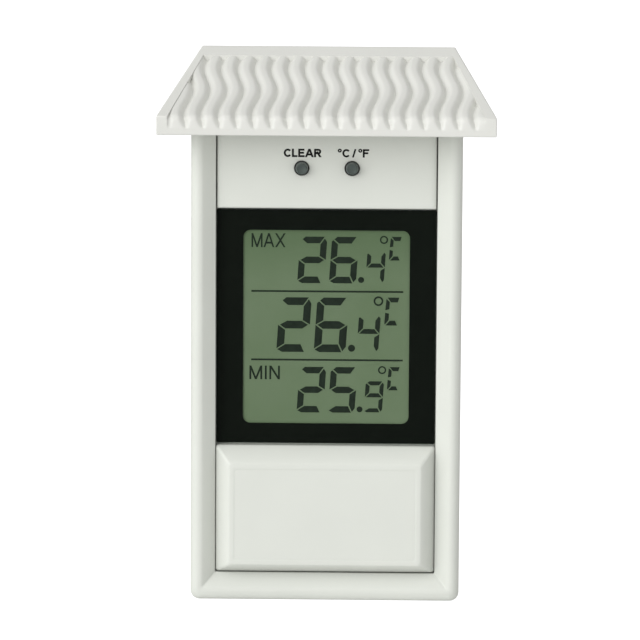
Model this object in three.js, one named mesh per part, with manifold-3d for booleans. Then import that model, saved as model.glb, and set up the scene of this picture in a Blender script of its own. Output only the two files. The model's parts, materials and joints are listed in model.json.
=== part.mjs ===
// Digital maximum minimum thermometer for a greenhouse: a wall or shelf case with a tiled roof.
// Millimetres, +Z up, +X to the right seen from the front, the front faces -Y.
// The origin is under the middle of the whole object, at the level it stands on.

import * as THREE from 'three';
import { ConvexGeometry } from 'three/addons/geometries/ConvexGeometry.js';
import { mergeVertices } from 'three/addons/utils/BufferGeometryUtils.js';
import Module from 'manifold-3d';

const wasm = await Module();
wasm.setup();

// ---- driving dimensions -------------------------------------------------------------------

const BACK_Y = 16;                 // the flat back
const EAVE_Y = -16;                // front of the roof's fascia
const RIDGE_Z = 132;               // top of the roof
const WALL = 1.8;                  // general wall thickness
const GAP = 0.3;                   // clearance between neighbouring mouldings

const BODY_HALF = 32.3;            // half the body's width
const BODY_TOP = 117.5;            // top of the body, inside the roof
const BODY_CORNER = 2.2;           // corner radius seen from the front
const BODY_SOFT = 0.7;             // softened edge round the back
const CREST_Y = -5;                // the rails' highest line
const CREST_RADIUS = 2.2;          // round between the body's side and the crest
const PARTING_Y = 6;               // where the front and rear halves meet
const PARTING_GAP = 0.15;

const POCKET_HALF = 26.4;          // half the width between the rails
const POCKET_BOTTOM = 6.6;
const POCKET_TOP = 113.5;
const FLOOR_FRONT_Y = -0.2;        // front face of the recessed wall
const FLOOR_BACK_Y = 1.4;

const EAVE_HALF = 40;              // half the roof's width at the front eaves
const EAVE_BACK_HALF = 37.6;
const RIDGE_HALF = 30.4;
const EAVE_BOTTOM = 113.8;
const EAVE_RIM = 118.3;            // top edge of the fascia
const RIDGE_DEPTH = 1;             // the flat along the top
const RIM_AT_RIDGE = 1.7;          // width of the flat rims each side of the tiles
const RIM_AT_EAVE = 2.6;
const RIDGE_BAND = 4.1;            // flat band above the tiles, front to back
const ROOF_DROP = 4.2;             // the ceiling below the roof's slope
const TILE_PITCH = 4;
const TILE_DEPTH = 1.5;            // valleys below the crests
const TILE_TOP_SINK = 0.12;        // crests below the rims
const TILE_TIP = 2;                // length of the rounded upper tips
const TILE_TIP_WIDTH = 0.67;       // share of a tile's width at its tip
const TILE_END = 115.3;            // the valleys run over the eave and end here
const TILE_BEND = 2.2;             // radius of the tiles' bend over the eave
const TILE_SWAY = 0.9;             // the tiles' side-to-side wave
const TILE_SWAY_LEAN = 8.5;        // degrees off upright of the line the wave runs along
const TILE_SWAY_LENGTH = 11.7;     // one wave along that line
const TILE_SWAY_RIGHT = 121.9;     // where along it the wave is furthest right
const TILE_SHIFT = 1.3;            // centre of the middle tile from the middle plane

const LENS_HALF = 26.25;
const LENS_BOTTOM = 37.9;
const LENS_TOP = 94.6;
const LENS_FRONT_Y = -1.7;
const LENS_THICK = 1.1;
const WINDOW_HALF = 19.9;
const WINDOW_BOTTOM = 42.7;
const WINDOW_TOP = 89.5;
const WINDOW_CORNER = 1.8;
const GLASS_HALF = 23.6;
const GLASS_BOTTOM = 39.5;
const GLASS_TOP = 92.8;

const KEY_PLATE_FRONT_Y = -2.3;
const KEY_PLATE_BOTTOM = 94.9;
const KEY_X = 6;                   // the keys are this far each side of the middle
const KEY_Z = 104.6;
const KEY_RADIUS = 1.62;
const KEY_PROUD = 1.8;
const KEY_TRAVEL = 1;
const KEY_FLANGE = 2.35;           // radius of the flange that keeps a key in
const PILL_RADIUS = 1.5;
const PILL_THICK = 0.6;
const SKIRT_RADIUS = 4;            // where a key's rubber skirt meets the mat

const PANEL_HALF = 26.1;
const PANEL_BOTTOM = 7;
const PANEL_TOP = 37.6;
const PANEL_FACE_Y = -6;
const PANEL_SKIRT_Y = -2.2;        // where the panel's bevels start
const PANEL_BEVEL_SIDE = 3.3;
const PANEL_BEVEL_TOP = 4.2;
const PANEL_BEVEL_BOTTOM = 2.2;

const BOARD_HALF = 24.2;
const BOARD_BOTTOM = 31;
const BOARD_TOP = 110;
const BOARD_FRONT_Y = 6.2;
const BOARD_BACK_Y = 7.4;

const CELL_RADIUS = 5.25;
const CELL_LENGTH = 43.7;          // without the raised terminal
const CELL_Y = 8.3;
const CELL_Z = 14.1;
const BAY_HALF = 25;
const BAY_BOTTOM = 8.3;
const BAY_TOP = 19.9;
const BAY_FLOOR_Y = 2.9;
const BAY_WALL = 1.2;

const DOOR_HALF = 26.6;
const DOOR_TOP = 24;
const DOOR_INNER_Y = 14.3;
const DOOR_HINGE_Y = 15.15;        // the door turns about this line
const DOOR_HINGE_Z = 1.9;
const DOOR_PIN = 0.45;             // radius of the pins at the door's lower corners
const DOOR_PIN_LENGTH = 1.3;
const RECESS_Y = 14.05;            // floor of the door's recess
const SCOOP_RADIUS = 9;            // fingernail scoop above the door
const SCOOP_DEPTH = 1.3;

const KEYHOLE_Z = 96;
const KEYHOLE_RADIUS = 4.2;
const KEYHOLE_SLOT = 2.1;          // half the slot's width
const KEYHOLE_RISE = 8;
const VENT_COUNT = 5;
const VENT_X = [-22, -8];
const VENT_BOTTOM = 38;
const VENT_HEIGHT = 1.2;
const VENT_PITCH = 3;

const CASE_SCREW_X = 28.2;
const CASE_SCREW_Z = [27, 111];
const BOARD_SCREW_X = 21;
const BOARD_SCREW_Z = [34, 99.5];
const ROOF_SCREW_X = 18;
const ROOF_SCREW_Y = 3.7;
const SCREW_SHANK = 1.05;
const SCREW_HOLE = 1.35;
const BOARD_BOSS = 2.2;
const CASE_BOSS_FRONT = 2.8;
const CASE_BOSS_BACK = 3.3;
const SCREW_WELL = 2.5;            // the case screws' heads sit in wells of this radius
const WELL_FLOOR = 2.2;            // solid left under a head

// ---- materials ----------------------------------------------------------------------------

const finishes = {
  ivory: { color: 0xe6e4dc, roughness: 0.45, metalness: 0 },
  roof: { color: 0xe2e0d8, roughness: 0.5, metalness: 0 },
  lens: { color: 0xdfe6e2, roughness: 0.05, metalness: 0 },
  black: { color: 0x0b0e0c, roughness: 0.2, metalness: 0 },
  display: { color: 0x74806a, roughness: 0.35, metalness: 0 },
  glass: { color: 0xa8b4a8, roughness: 0.1, metalness: 0 },
  silver: { color: 0xb8bcb8, roughness: 0.3, metalness: 0.6 },
  keys: { color: 0x6d7068, roughness: 0.8, metalness: 0 },
  rubber: { color: 0x8a8c88, roughness: 0.85, metalness: 0 },
  carbon: { color: 0x141414, roughness: 0.9, metalness: 0 },
  inner: { color: 0xc9c9c4, roughness: 0.6, metalness: 0 },
  board: { color: 0x1f5a38, roughness: 0.5, metalness: 0 },
  epoxy: { color: 0x0c0c0c, roughness: 0.35, metalness: 0 },
  part: { color: 0x2b2b2b, roughness: 0.5, metalness: 0 },
  steel: { color: 0xb9bbbd, roughness: 0.3, metalness: 1 },
  jacket: { color: 0x394a66, roughness: 0.35, metalness: 0 },
  red: { color: 0xb02018, roughness: 0.5, metalness: 0 },
  blackWire: { color: 0x161616, roughness: 0.5, metalness: 0 },
};

const thermometer = new THREE.Group();

function addPiece(name, shape, finish, x = 0, y = 0, z = 0) {
  const geometry = shape.isBufferGeometry ? shape : geometryOf(shape);
  const mesh = new THREE.Mesh(geometry, new THREE.MeshStandardMaterial(finishes[finish]));
  mesh.name = name;
  mesh.position.set(x, y, z);
  thermometer.add(mesh);
}

// ---- solids -------------------------------------------------------------------------------

function solid(geometry) {
  const bare = geometry.clone();
  bare.deleteAttribute('normal');
  bare.deleteAttribute('uv');
  const merged = mergeVertices(bare, 1e-4);
  return new wasm.Manifold(new wasm.Mesh({
    numProp: 3,
    vertProperties: new Float32Array(merged.attributes.position.array),
    triVerts: new Uint32Array(merged.index.array),
  }));
}

function geometryOf(manifold) {
  const mesh = manifold.getMesh();
  const geometry = new THREE.BufferGeometry();
  geometry.setAttribute('position', new THREE.BufferAttribute(mesh.vertProperties, 3));
  geometry.setIndex(new THREE.BufferAttribute(mesh.triVerts, 1));
  geometry.computeVertexNormals();
  return geometry;
}

// A block from its low and high limits along each axis.
function block([x0, x1], [y0, y1], [z0, z1]) {
  const box = new THREE.BoxGeometry(x1 - x0, y1 - y0, z1 - z0);
  return solid(box.translate((x0 + x1) / 2, (y0 + y1) / 2, (z0 + z1) / 2));
}

// An outline drawn in X and Z, given thickness from front to back.
function slab(outline, y0, y1, curveSegments = 4) {
  const options = { depth: y1 - y0, bevelEnabled: false, curveSegments };
  return solid(new THREE.ExtrudeGeometry(outline, options).rotateX(Math.PI / 2).translate(0, y1, 0));
}

function roundedRectangle([x0, x1], [z0, z1], radius) {
  const outline = new THREE.Shape();
  outline.moveTo(x0 + radius, z0);
  outline.lineTo(x1 - radius, z0);
  outline.absarc(x1 - radius, z0 + radius, radius, -Math.PI / 2, 0);
  outline.lineTo(x1, z1 - radius);
  outline.absarc(x1 - radius, z1 - radius, radius, 0, Math.PI / 2);
  outline.lineTo(x0 + radius, z1);
  outline.absarc(x0 + radius, z1 - radius, radius, Math.PI / 2, Math.PI);
  outline.lineTo(x0, z0 + radius);
  outline.absarc(x0 + radius, z0 + radius, radius, Math.PI, Math.PI * 1.5);
  return outline;
}

// A turned shape along Y: pairs of radius and distance, from the axis back to the axis.
function turned(pairs, sides) {
  const profile = pairs.map(([radius, along]) => new THREE.Vector2(radius, along));
  return new THREE.LatheGeometry(profile, sides);
}

function rodAlongY(radius, y0, y1, x, z, sides = 16) {
  const rod = new THREE.CylinderGeometry(radius, radius, y1 - y0, sides);
  return solid(rod.translate(x, (y0 + y1) / 2, z));
}

function rodAlongZ(radius, z0, z1, x, y, sides = 16) {
  const rod = new THREE.CylinderGeometry(radius, radius, z1 - z0, sides).rotateX(Math.PI / 2);
  return solid(rod.translate(x, y, (z0 + z1) / 2));
}

function rodAlongX(radius, x0, x1, y, z, sides = 16) {
  const rod = new THREE.CylinderGeometry(radius, radius, x1 - x0, sides).rotateZ(Math.PI / 2);
  return solid(rod.translate((x0 + x1) / 2, y, z));
}

// An outline drawn in Y and Z, given width from side to side.
function widened(outline, x0, x1, curveSegments = 5) {
  const options = { depth: x1 - x0, bevelEnabled: false, curveSegments };
  const toSide = new THREE.Matrix4().set(0, 0, 1, x0, 1, 0, 0, 0, 0, 1, 0, 0, 0, 0, 0, 1);
  return solid(new THREE.ExtrudeGeometry(outline, options).applyMatrix4(toSide));
}

// A skin through rings of points. Each ring has the same number of points, and the rings either
// close on themselves, as a picture frame's section does, or are closed by a flat cap at each end.
function loft(rings, closed) {
  const count = rings[0].length;
  const positions = rings.flat().flatMap((point) => [point.x, point.y, point.z]);
  const faces = [];
  const last = closed ? rings.length : rings.length - 1;
  for (let i = 0; i < last; i++) {
    const here = i * count;
    const next = ((i + 1) % rings.length) * count;
    for (let j = 0; j < count; j++) {
      const k = (j + 1) % count;
      faces.push(here + j, here + k, next + k);
      faces.push(here + j, next + k, next + j);
    }
  }
  if (!closed) {
    const end = (rings.length - 1) * count;
    for (let j = 1; j < count - 1; j++) {
      faces.push(0, j + 1, j);
      faces.push(end, end + j, end + j + 1);
    }
  }
  const geometry = new THREE.BufferGeometry();
  geometry.setAttribute('position', new THREE.Float32BufferAttribute(positions, 3));
  geometry.setIndex(faces);
  return geometry;
}

// Points around a rounded rectangle, at one distance front to back.
function ring([x0, x1], [z0, z1], radius, y, cornerSteps = 4) {
  const corners = [
    [x1 - radius, z0 + radius, -Math.PI / 2],
    [x1 - radius, z1 - radius, 0],
    [x0 + radius, z1 - radius, Math.PI / 2],
    [x0 + radius, z0 + radius, Math.PI],
  ];
  const points = [];
  for (const [x, z, start] of corners) {
    for (let i = 0; i <= cornerSteps; i++) {
      const angle = start + (i / cornerSteps) * Math.PI / 2;
      points.push(new THREE.Vector3(x + radius * Math.cos(angle), y, z + radius * Math.sin(angle)));
    }
  }
  return points;
}

// ---- front case ---------------------------------------------------------------------------

// The body's outline drawn in by an inset that runs from 0 at the outside to 1 at the pocket.
function bodyRing(inset, y) {
  const half = BODY_HALF + (POCKET_HALF - BODY_HALF) * inset;
  const bottom = POCKET_BOTTOM * inset;
  const top = BODY_TOP + (POCKET_TOP - BODY_TOP) * inset;
  const radius = Math.max(BODY_CORNER * (1 - 1.6 * inset), 0.3);
  return ring([-half, half], [bottom, top], radius, y);
}

function frontFrame() {
  const shoulderY = CREST_Y + CREST_RADIUS;
  const shoulderInset = 0.34;
  const innerSkinInset = 0.31;
  const railSkinInset = 0.62;
  const railSkinY = -1.6;
  const section = [[0, PARTING_Y]];
  for (let i = 0; i <= 5; i++) {
    const angle = (i / 5) * Math.PI / 2;
    section.push([shoulderInset * (1 - Math.cos(angle)), shoulderY - CREST_RADIUS * Math.sin(angle)]);
  }
  section.push([0.46, CREST_Y + 0.12], [0.56, CREST_Y + 0.5], [1, FLOOR_FRONT_Y - 2.4]);
  section.push([1, FLOOR_BACK_Y], [railSkinInset, FLOOR_BACK_Y], [railSkinInset, railSkinY]);
  section.push([innerSkinInset, railSkinY - 0.6], [innerSkinInset, PARTING_Y]);
  let frame = solid(loft(section.map(([inset, y]) => bodyRing(inset, y)), true));

  const floorHalf = POCKET_HALF + 1;
  const floorUp = [POCKET_BOTTOM - 1, POCKET_TOP + 1];
  const windowAcross = [-GLASS_HALF - GAP, GLASS_HALF + GAP];
  const window = roundedRectangle(windowAcross, [GLASS_BOTTOM - GAP, GLASS_TOP + GAP], 0.6);
  const through = [FLOOR_FRONT_Y - 1, FLOOR_BACK_Y + 1];
  const floor = block([-floorHalf, floorHalf], [FLOOR_FRONT_Y, FLOOR_BACK_Y], floorUp);
  frame = frame.add(floor.subtract(slab(window, ...through, 2)));
  const rootY = FLOOR_BACK_Y - 0.5;
  for (const side of [-1, 1]) {
    frame = frame.subtract(rodAlongY(KEY_RADIUS + 1.2, ...through, side * KEY_X, KEY_Z));
    for (const z of BOARD_SCREW_Z) {
      const x = side * BOARD_SCREW_X;
      frame = frame.add(rodAlongY(BOARD_BOSS, rootY, BOARD_FRONT_Y - 0.1, x, z, 14));
      frame = frame.subtract(rodAlongY(SCREW_HOLE - 0.2, FLOOR_BACK_Y + 0.2, BOARD_BACK_Y, x, z, 12));
    }
    for (const z of CASE_SCREW_Z) {
      const x = side * CASE_SCREW_X;
      frame = frame.add(rodAlongY(CASE_BOSS_FRONT, rootY, PARTING_Y, x, z, 16));
      frame = frame.subtract(rodAlongY(SCREW_HOLE, FLOOR_BACK_Y, PARTING_Y + 1, x, z, 12));
    }
    const roofHole = [BODY_TOP - 4, BODY_TOP + 1];
    frame = frame.subtract(rodAlongZ(SCREW_HOLE, ...roofHole, side * ROOF_SCREW_X, ROOF_SCREW_Y, 12));
  }
  addPiece('front_frame', frame, 'ivory');
}

function keyPlate() {
  const edge = 1.3;
  const softY = KEY_PLATE_FRONT_Y + 0.35;
  const half = POCKET_HALF - GAP;
  const across = [-half, half];
  const innerAcross = [-half + edge, half - edge];
  const up = [KEY_PLATE_BOTTOM, POCKET_TOP - GAP];
  const innerUp = [KEY_PLATE_BOTTOM + 0.4, POCKET_TOP - GAP - 0.4];
  const rings = [
    ring(innerAcross, innerUp, 0.3, KEY_PLATE_FRONT_Y, 2),
    ring(across, up, 0.3, softY, 2),
    ring(across, up, 0.3, FLOOR_FRONT_Y - 0.1, 2),
  ];
  let plate = solid(loft(rings.reverse(), false));
  for (const side of [-1, 1]) {
    plate = plate.subtract(rodAlongY(KEY_RADIUS + 0.2, KEY_PLATE_FRONT_Y - 1, 1, side * KEY_X, KEY_Z, 20));
  }
  addPiece('key_plate', plate, 'ivory');
}

function lowerPanel() {
  const outer = (inset, y) => ring(
    [-PANEL_HALF + PANEL_BEVEL_SIDE * inset, PANEL_HALF - PANEL_BEVEL_SIDE * inset],
    [PANEL_BOTTOM + PANEL_BEVEL_BOTTOM * inset, PANEL_TOP - PANEL_BEVEL_TOP * inset], 0.7, y, 3);
  const face = (margin, y) => ring(
    [-PANEL_HALF + PANEL_BEVEL_SIDE + margin, PANEL_HALF - PANEL_BEVEL_SIDE - margin],
    [PANEL_BOTTOM + PANEL_BEVEL_BOTTOM + margin, PANEL_TOP - PANEL_BEVEL_TOP - margin], 0.7, y, 3);
  const rings = [
    outer(0, FLOOR_FRONT_Y - 0.1),
    outer(0, PANEL_SKIRT_Y),
    outer(0.5, (PANEL_SKIRT_Y + PANEL_FACE_Y) / 2 - 0.35),
    outer(0.9, PANEL_FACE_Y + 0.18),
    outer(1, PANEL_FACE_Y),
    face(1.2, PANEL_FACE_Y),
    face(1.35, PANEL_FACE_Y + 0.15),
  ];
  const hollow = [[-PANEL_HALF + 4.6, PANEL_HALF - 4.6], [PANEL_BOTTOM + 3.8, PANEL_TOP - 5.6]];
  const cavity = block(hollow[0], [PANEL_FACE_Y + WALL, 1], hollow[1]);
  addPiece('lower_panel', solid(loft(rings, false)).subtract(cavity), 'ivory');
}

// ---- display ------------------------------------------------------------------------------

function display() {
  const lensAcross = [-LENS_HALF, LENS_HALF];
  const lensUp = [LENS_BOTTOM, LENS_TOP];
  const lensBackY = LENS_FRONT_Y + LENS_THICK;
  const lens = loft([
    ring(lensAcross, lensUp, 0.4, lensBackY, 2),
    ring(lensAcross, lensUp, 0.4, LENS_FRONT_Y + 0.15, 2),
    ring([-LENS_HALF + 0.15, LENS_HALF - 0.15], [LENS_BOTTOM + 0.15, LENS_TOP - 0.15], 0.4, LENS_FRONT_Y, 2),
  ], false);
  addPiece('display_lens', lens, 'lens');

  const opening = roundedRectangle([-WINDOW_HALF, WINDOW_HALF], [WINDOW_BOTTOM, WINDOW_TOP], WINDOW_CORNER);
  const sheet = slab(roundedRectangle(lensAcross, lensUp, 0.4), lensBackY + 0.1, FLOOR_FRONT_Y - 0.1, 2);
  addPiece('lens_mask', sheet.subtract(slab(opening, -2, 2)), 'black');

  const filmHalf = GLASS_HALF - 1;
  const filmUp = [GLASS_BOTTOM + 2, GLASS_TOP - 2];
  addPiece('lcd_front_polarizer', block([-filmHalf, filmHalf], [-0.15, 0], filmUp), 'display');
  addPiece('lcd_glass', block([-GLASS_HALF, GLASS_HALF], [0.1, 2.1], [GLASS_BOTTOM, GLASS_TOP]), 'glass');
  const reflectorUp = [GLASS_BOTTOM + 4, GLASS_TOP - 4];
  addPiece('lcd_rear_reflector', block([-filmHalf, filmHalf], [2.2, 2.4], reflectorUp), 'silver');

  const holderUp = [GLASS_BOTTOM - 2.9, GLASS_TOP + 2.9];
  const stripUpper = [GLASS_TOP - 3, GLASS_TOP - 0.6];
  const stripLower = [GLASS_BOTTOM + 0.6, GLASS_BOTTOM + 3];
  const stripHalf = GLASS_HALF - 1.8;
  let holder = block([-25, 25], [2.5, BOARD_FRONT_Y - 0.2], holderUp);
  holder = holder.subtract(block([-21, 21], [0, 9], [GLASS_BOTTOM + 4.6, GLASS_TOP - 4.6]));
  for (const [name, up] of [['zebra_strip_upper', stripUpper], ['zebra_strip_lower', stripLower]]) {
    const slot = [up[0] - 0.2, up[1] + 0.2];
    holder = holder.subtract(block([-stripHalf - 0.2, stripHalf + 0.2], [0, 9], slot));
    addPiece(name, block([-stripHalf, stripHalf], [2.2, BOARD_FRONT_Y - 0.1], up), 'rubber');
  }
  addPiece('lcd_holder', holder, 'inner');
}

// ---- keys ---------------------------------------------------------------------------------

function keys() {
  const matFront = BOARD_FRONT_Y - 1.1;
  const matBack = BOARD_FRONT_Y - 0.1;
  const matAcross = [-KEY_X - 7, KEY_X + 7];
  const matUp = [KEY_Z - 5.4, KEY_Z + 5];
  let mat = slab(roundedRectangle(matAcross, matUp, 1), matFront, matBack, 3);
  const tipY = KEY_PLATE_FRONT_Y - KEY_PROUD;
  const flangeY = FLOOR_FRONT_Y + 0.1;
  const pillFront = BOARD_FRONT_Y - 0.2 - KEY_TRAVEL - PILL_THICK;
  const baseY = pillFront - 0.1;
  const pillBack = pillFront + PILL_THICK;
  const stem = [
    [0, tipY], [KEY_RADIUS - 0.45, tipY], [KEY_RADIUS - 0.12, tipY + 0.14], [KEY_RADIUS, tipY + 0.5],
    [KEY_RADIUS, flangeY], [KEY_FLANGE, flangeY], [KEY_FLANGE, baseY], [0, baseY],
  ];
  const pill = [[0, pillFront], [PILL_RADIUS, pillFront], [PILL_RADIUS, pillBack], [0, pillBack]];
  const innerRadius = KEY_FLANGE + GAP;
  const skirt = [
    [innerRadius, baseY - 0.9], [SKIRT_RADIUS, matFront + 0.3], [SKIRT_RADIUS, matBack - 0.1],
    [innerRadius, baseY - 0.3], [innerRadius, baseY - 0.9],
  ];
  for (const [name, x] of [['clear_key', -KEY_X], ['unit_key', KEY_X]]) {
    mat = mat.subtract(rodAlongY(SKIRT_RADIUS + 0.2, matFront - 1, matBack + 1, x, KEY_Z, 20));
    addPiece(name, turned(stem, 24), 'keys', x, 0, KEY_Z);
    addPiece(`${name}_pill`, turned(pill, 12), 'carbon', x, 0, KEY_Z);
    addPiece(`${name}_skirt`, turned(skirt, 16), 'rubber', x, 0, KEY_Z);
  }
  addPiece('key_mat', mat, 'rubber');
}

// ---- board --------------------------------------------------------------------------------

function mainBoard() {
  let board = block([-BOARD_HALF, BOARD_HALF], [BOARD_FRONT_Y, BOARD_BACK_Y], [BOARD_BOTTOM, BOARD_TOP]);
  for (const side of [-1, 1]) {
    for (const z of BOARD_SCREW_Z) {
      board = board.subtract(rodAlongY(1.4, 0, 9, side * BOARD_SCREW_X, z, 12));
    }
  }
  addPiece('main_board', board, 'board');

  const rest = BOARD_BACK_Y + 0.05;
  const dome = [[0, rest], [6, rest], [5.6, rest + 0.8], [3.8, rest + 1.6], [0, rest + 1.9]];
  addPiece('chip_cap', turned(dome, 20), 'epoxy', 0, 0, 66);
  const can = [[0, rest], [2.5, rest], [2.5, rest + 4.9], [2.2, rest + 5.2], [0, rest + 5.2]];
  addPiece('buffer_capacitor', turned(can, 14), 'part', 12, 0, 47);
  const crystal = new THREE.CylinderGeometry(1, 1, 6, 12);
  addPiece('clock_crystal', crystal.rotateZ(Math.PI / 2), 'steel', 12, rest + 1.05, 78);
  const bead = [[0, -2], [0.5, -1.9], [1.3, -0.9], [1.5, 0.2], [1, 1.4], [0, 1.8]];
  addPiece('air_sensor', turned(bead, 12).rotateX(Math.PI / 2), 'epoxy', -15, rest + 1.85, 44);
  for (let i = 0; i < 3; i++) {
    const up = 84 + 4 * i;
    addPiece(`chip_resistor_${i + 1}`, block([-13, -11], [rest, rest + 0.5], [up, up + 1.2]), 'part');
  }
}

// ---- battery bay --------------------------------------------------------------------------

function battery() {
  const jacket = CELL_RADIUS;
  const half = CELL_LENGTH / 2;
  const cell = [
    [0, -half], [jacket - 0.5, -half], [jacket, -half + 0.4], [jacket, half - 0.6], [jacket - 0.7, half],
    [1.9, half], [1.9, half + 0.8], [0, half + 0.8],
  ];
  const cellX = -BAY_HALF + 1.5 + half;
  addPiece('battery_cell', turned(cell, 20).rotateZ(Math.PI / 2), 'jacket', cellX, CELL_Y, CELL_Z);

  for (const [name, side] of [['positive_contact', -1], ['negative_contact', 1]]) {
    const thickness = side < 0 ? [-BAY_HALF + 0.1, -BAY_HALF + 0.5] : [BAY_HALF - 0.5, BAY_HALF - 0.1];
    const leaf = block(thickness, [BAY_FLOOR_Y + 0.3, 13], [BAY_BOTTOM + 0.4, BAY_TOP - 0.4]);
    addPiece(name, leaf.add(block(thickness, [4, 6], [BAY_TOP - 1, BAY_TOP + 3])), 'steel');
  }

  const turns = 3;
  const springStart = cellX + half + 0.5;
  const springEnd = BAY_HALF - 0.9;
  class Coil extends THREE.Curve {
    getPoint(t, target = new THREE.Vector3()) {
      const angle = t * turns * Math.PI * 2;
      const radius = 2.2 + 1.6 * t;
      const x = springStart + (springEnd - springStart) * t;
      return target.set(x, CELL_Y + radius * Math.cos(angle), CELL_Z + radius * Math.sin(angle));
    }
  }
  addPiece('battery_spring', tubeAlong(new Coil(), 0.3, turns * 10, 6), 'steel');

  for (const [name, side, finish] of [['red_wire', -1, 'red'], ['black_wire', 1, 'blackWire']]) {
    const tab = BAY_HALF - 0.5;
    const route = new THREE.CatmullRomCurve3([
      new THREE.Vector3(side * (tab - 0.8), 5, BAY_TOP + 2),
      new THREE.Vector3(side * (tab - 2), 5.3, BAY_TOP + 4),
      new THREE.Vector3(side * 19, 7.6, 27.5),
      new THREE.Vector3(side * 12, 8.7, 30.5),
      new THREE.Vector3(side * 9.5, BOARD_BACK_Y + 0.9, 34),
    ]);
    addPiece(name, tubeAlong(route, 0.6, 14, 8), finish);
  }
}

// A round wire along a curve, with flat ends.
function tubeAlong(curve, radius, steps, sides) {
  const section = new THREE.Shape();
  for (let i = 0; i < sides; i++) {
    const angle = (i / sides) * Math.PI * 2;
    const x = radius * Math.cos(angle);
    const y = radius * Math.sin(angle);
    if (i === 0) section.moveTo(x, y);
    else section.lineTo(x, y);
  }
  return new THREE.ExtrudeGeometry(section, { extrudePath: curve, steps, bevelEnabled: false });
}

// ---- rear case ----------------------------------------------------------------------------

function rearCover() {
  const frontY = PARTING_Y + PARTING_GAP;
  const shrunk = (by, y) => ring(
    [-BODY_HALF + by, BODY_HALF - by], [by, BODY_TOP - by], BODY_CORNER - by, y);
  let cover = solid(loft([
    shrunk(BODY_SOFT, BACK_Y),
    shrunk(0.3 * BODY_SOFT, BACK_Y - 0.5),
    shrunk(0, BACK_Y - BODY_SOFT - 0.5),
    shrunk(0, frontY),
  ], false));
  const inside = roundedRectangle([-BODY_HALF + WALL, BODY_HALF - WALL], [WALL, BODY_TOP - WALL], 1);
  cover = cover.subtract(slab(inside, 0, BACK_Y - WALL, 2));

  const innerHalf = BODY_HALF - 1;
  cover = cover.add(block([-innerHalf, innerHalf], [RECESS_Y - 1.5, BACK_Y - 1], [1, DOOR_TOP + 6]));
  const bayOuter = [-BAY_HALF - BAY_WALL, BAY_HALF + BAY_WALL];
  const bayUp = [BAY_BOTTOM - BAY_WALL, BAY_TOP + BAY_WALL];
  cover = cover.add(block(bayOuter, [BAY_FLOOR_Y - BAY_WALL, RECESS_Y - 1], bayUp));
  for (const side of [-1, 1]) {
    for (const z of CASE_SCREW_Z) {
      cover = cover.add(rodAlongY(CASE_BOSS_BACK, frontY, BACK_Y - 1, side * CASE_SCREW_X, z, 20));
    }
  }

  cover = cover.subtract(block([-BAY_HALF, BAY_HALF], [BAY_FLOOR_Y, BACK_Y + 1], [BAY_BOTTOM, BAY_TOP]));
  cover = cover.subtract(doorRecess());
  for (const side of [-1, 1]) {
    const tabX = [side * BAY_HALF - 0.8, side * BAY_HALF + 0.8];
    const slotX = side < 0 ? [-BAY_HALF, tabX[1]] : [tabX[0], BAY_HALF];
    cover = cover.subtract(block(slotX, [3.7, 6.3], [BAY_TOP - 1, BAY_TOP + 3]));
    for (const z of CASE_SCREW_Z) {
      const x = side * CASE_SCREW_X;
      cover = cover.subtract(rodAlongY(SCREW_WELL, frontY + WELL_FLOOR, BACK_Y + 1, x, z, 20));
      cover = cover.subtract(rodAlongY(SCREW_HOLE, 0, BACK_Y, x, z, 12));
    }
  }
  addPiece('rear_cover', cover.subtract(keyhole()).subtract(vents()), 'ivory');
}

// The door's recess, open at the bottom, with its pin holes and the scoop above it.
function doorRecess() {
  const half = DOOR_HALF + GAP;
  const top = DOOR_TOP + GAP;
  let recess = block([-half, half], [RECESS_Y, BACK_Y + 1], [-1, top]);
  const ends = [half - 0.5, half + DOOR_PIN_LENGTH + 0.2];
  for (const [x0, x1] of [ends, [-ends[1], -ends[0]]]) {
    recess = recess.add(rodAlongX(DOOR_PIN + 0.15, x0, x1, DOOR_HINGE_Y, DOOR_HINGE_Z, 12));
  }
  const scoop = new THREE.SphereGeometry(SCOOP_RADIUS, 32, 24);
  return recess.add(solid(scoop.translate(0, BACK_Y + SCOOP_RADIUS - SCOOP_DEPTH, top)));
}

function keyhole() {
  const outline = new THREE.Shape();
  const open = Math.asin(KEYHOLE_SLOT / KEYHOLE_RADIUS);
  const neckZ = KEYHOLE_Z + KEYHOLE_RISE;
  outline.absarc(0, KEYHOLE_Z, KEYHOLE_RADIUS, Math.PI / 2 + open, Math.PI * 2.5 - open);
  outline.lineTo(KEYHOLE_SLOT, neckZ);
  outline.absarc(0, neckZ, KEYHOLE_SLOT, 0, Math.PI);
  return slab(outline, BACK_Y - 2 * WALL, BACK_Y + 1, 16);
}

function vent(index) {
  const bottom = VENT_BOTTOM + VENT_PITCH * index;
  const outline = roundedRectangle(VENT_X, [bottom, bottom + VENT_HEIGHT], 0.45 * VENT_HEIGHT);
  return slab(outline, BACK_Y - 2 * WALL, BACK_Y + 1, 3);
}

function vents() {
  let slots = vent(0);
  for (let i = 1; i < VENT_COUNT; i++) slots = slots.add(vent(i));
  return slots;
}

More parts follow.
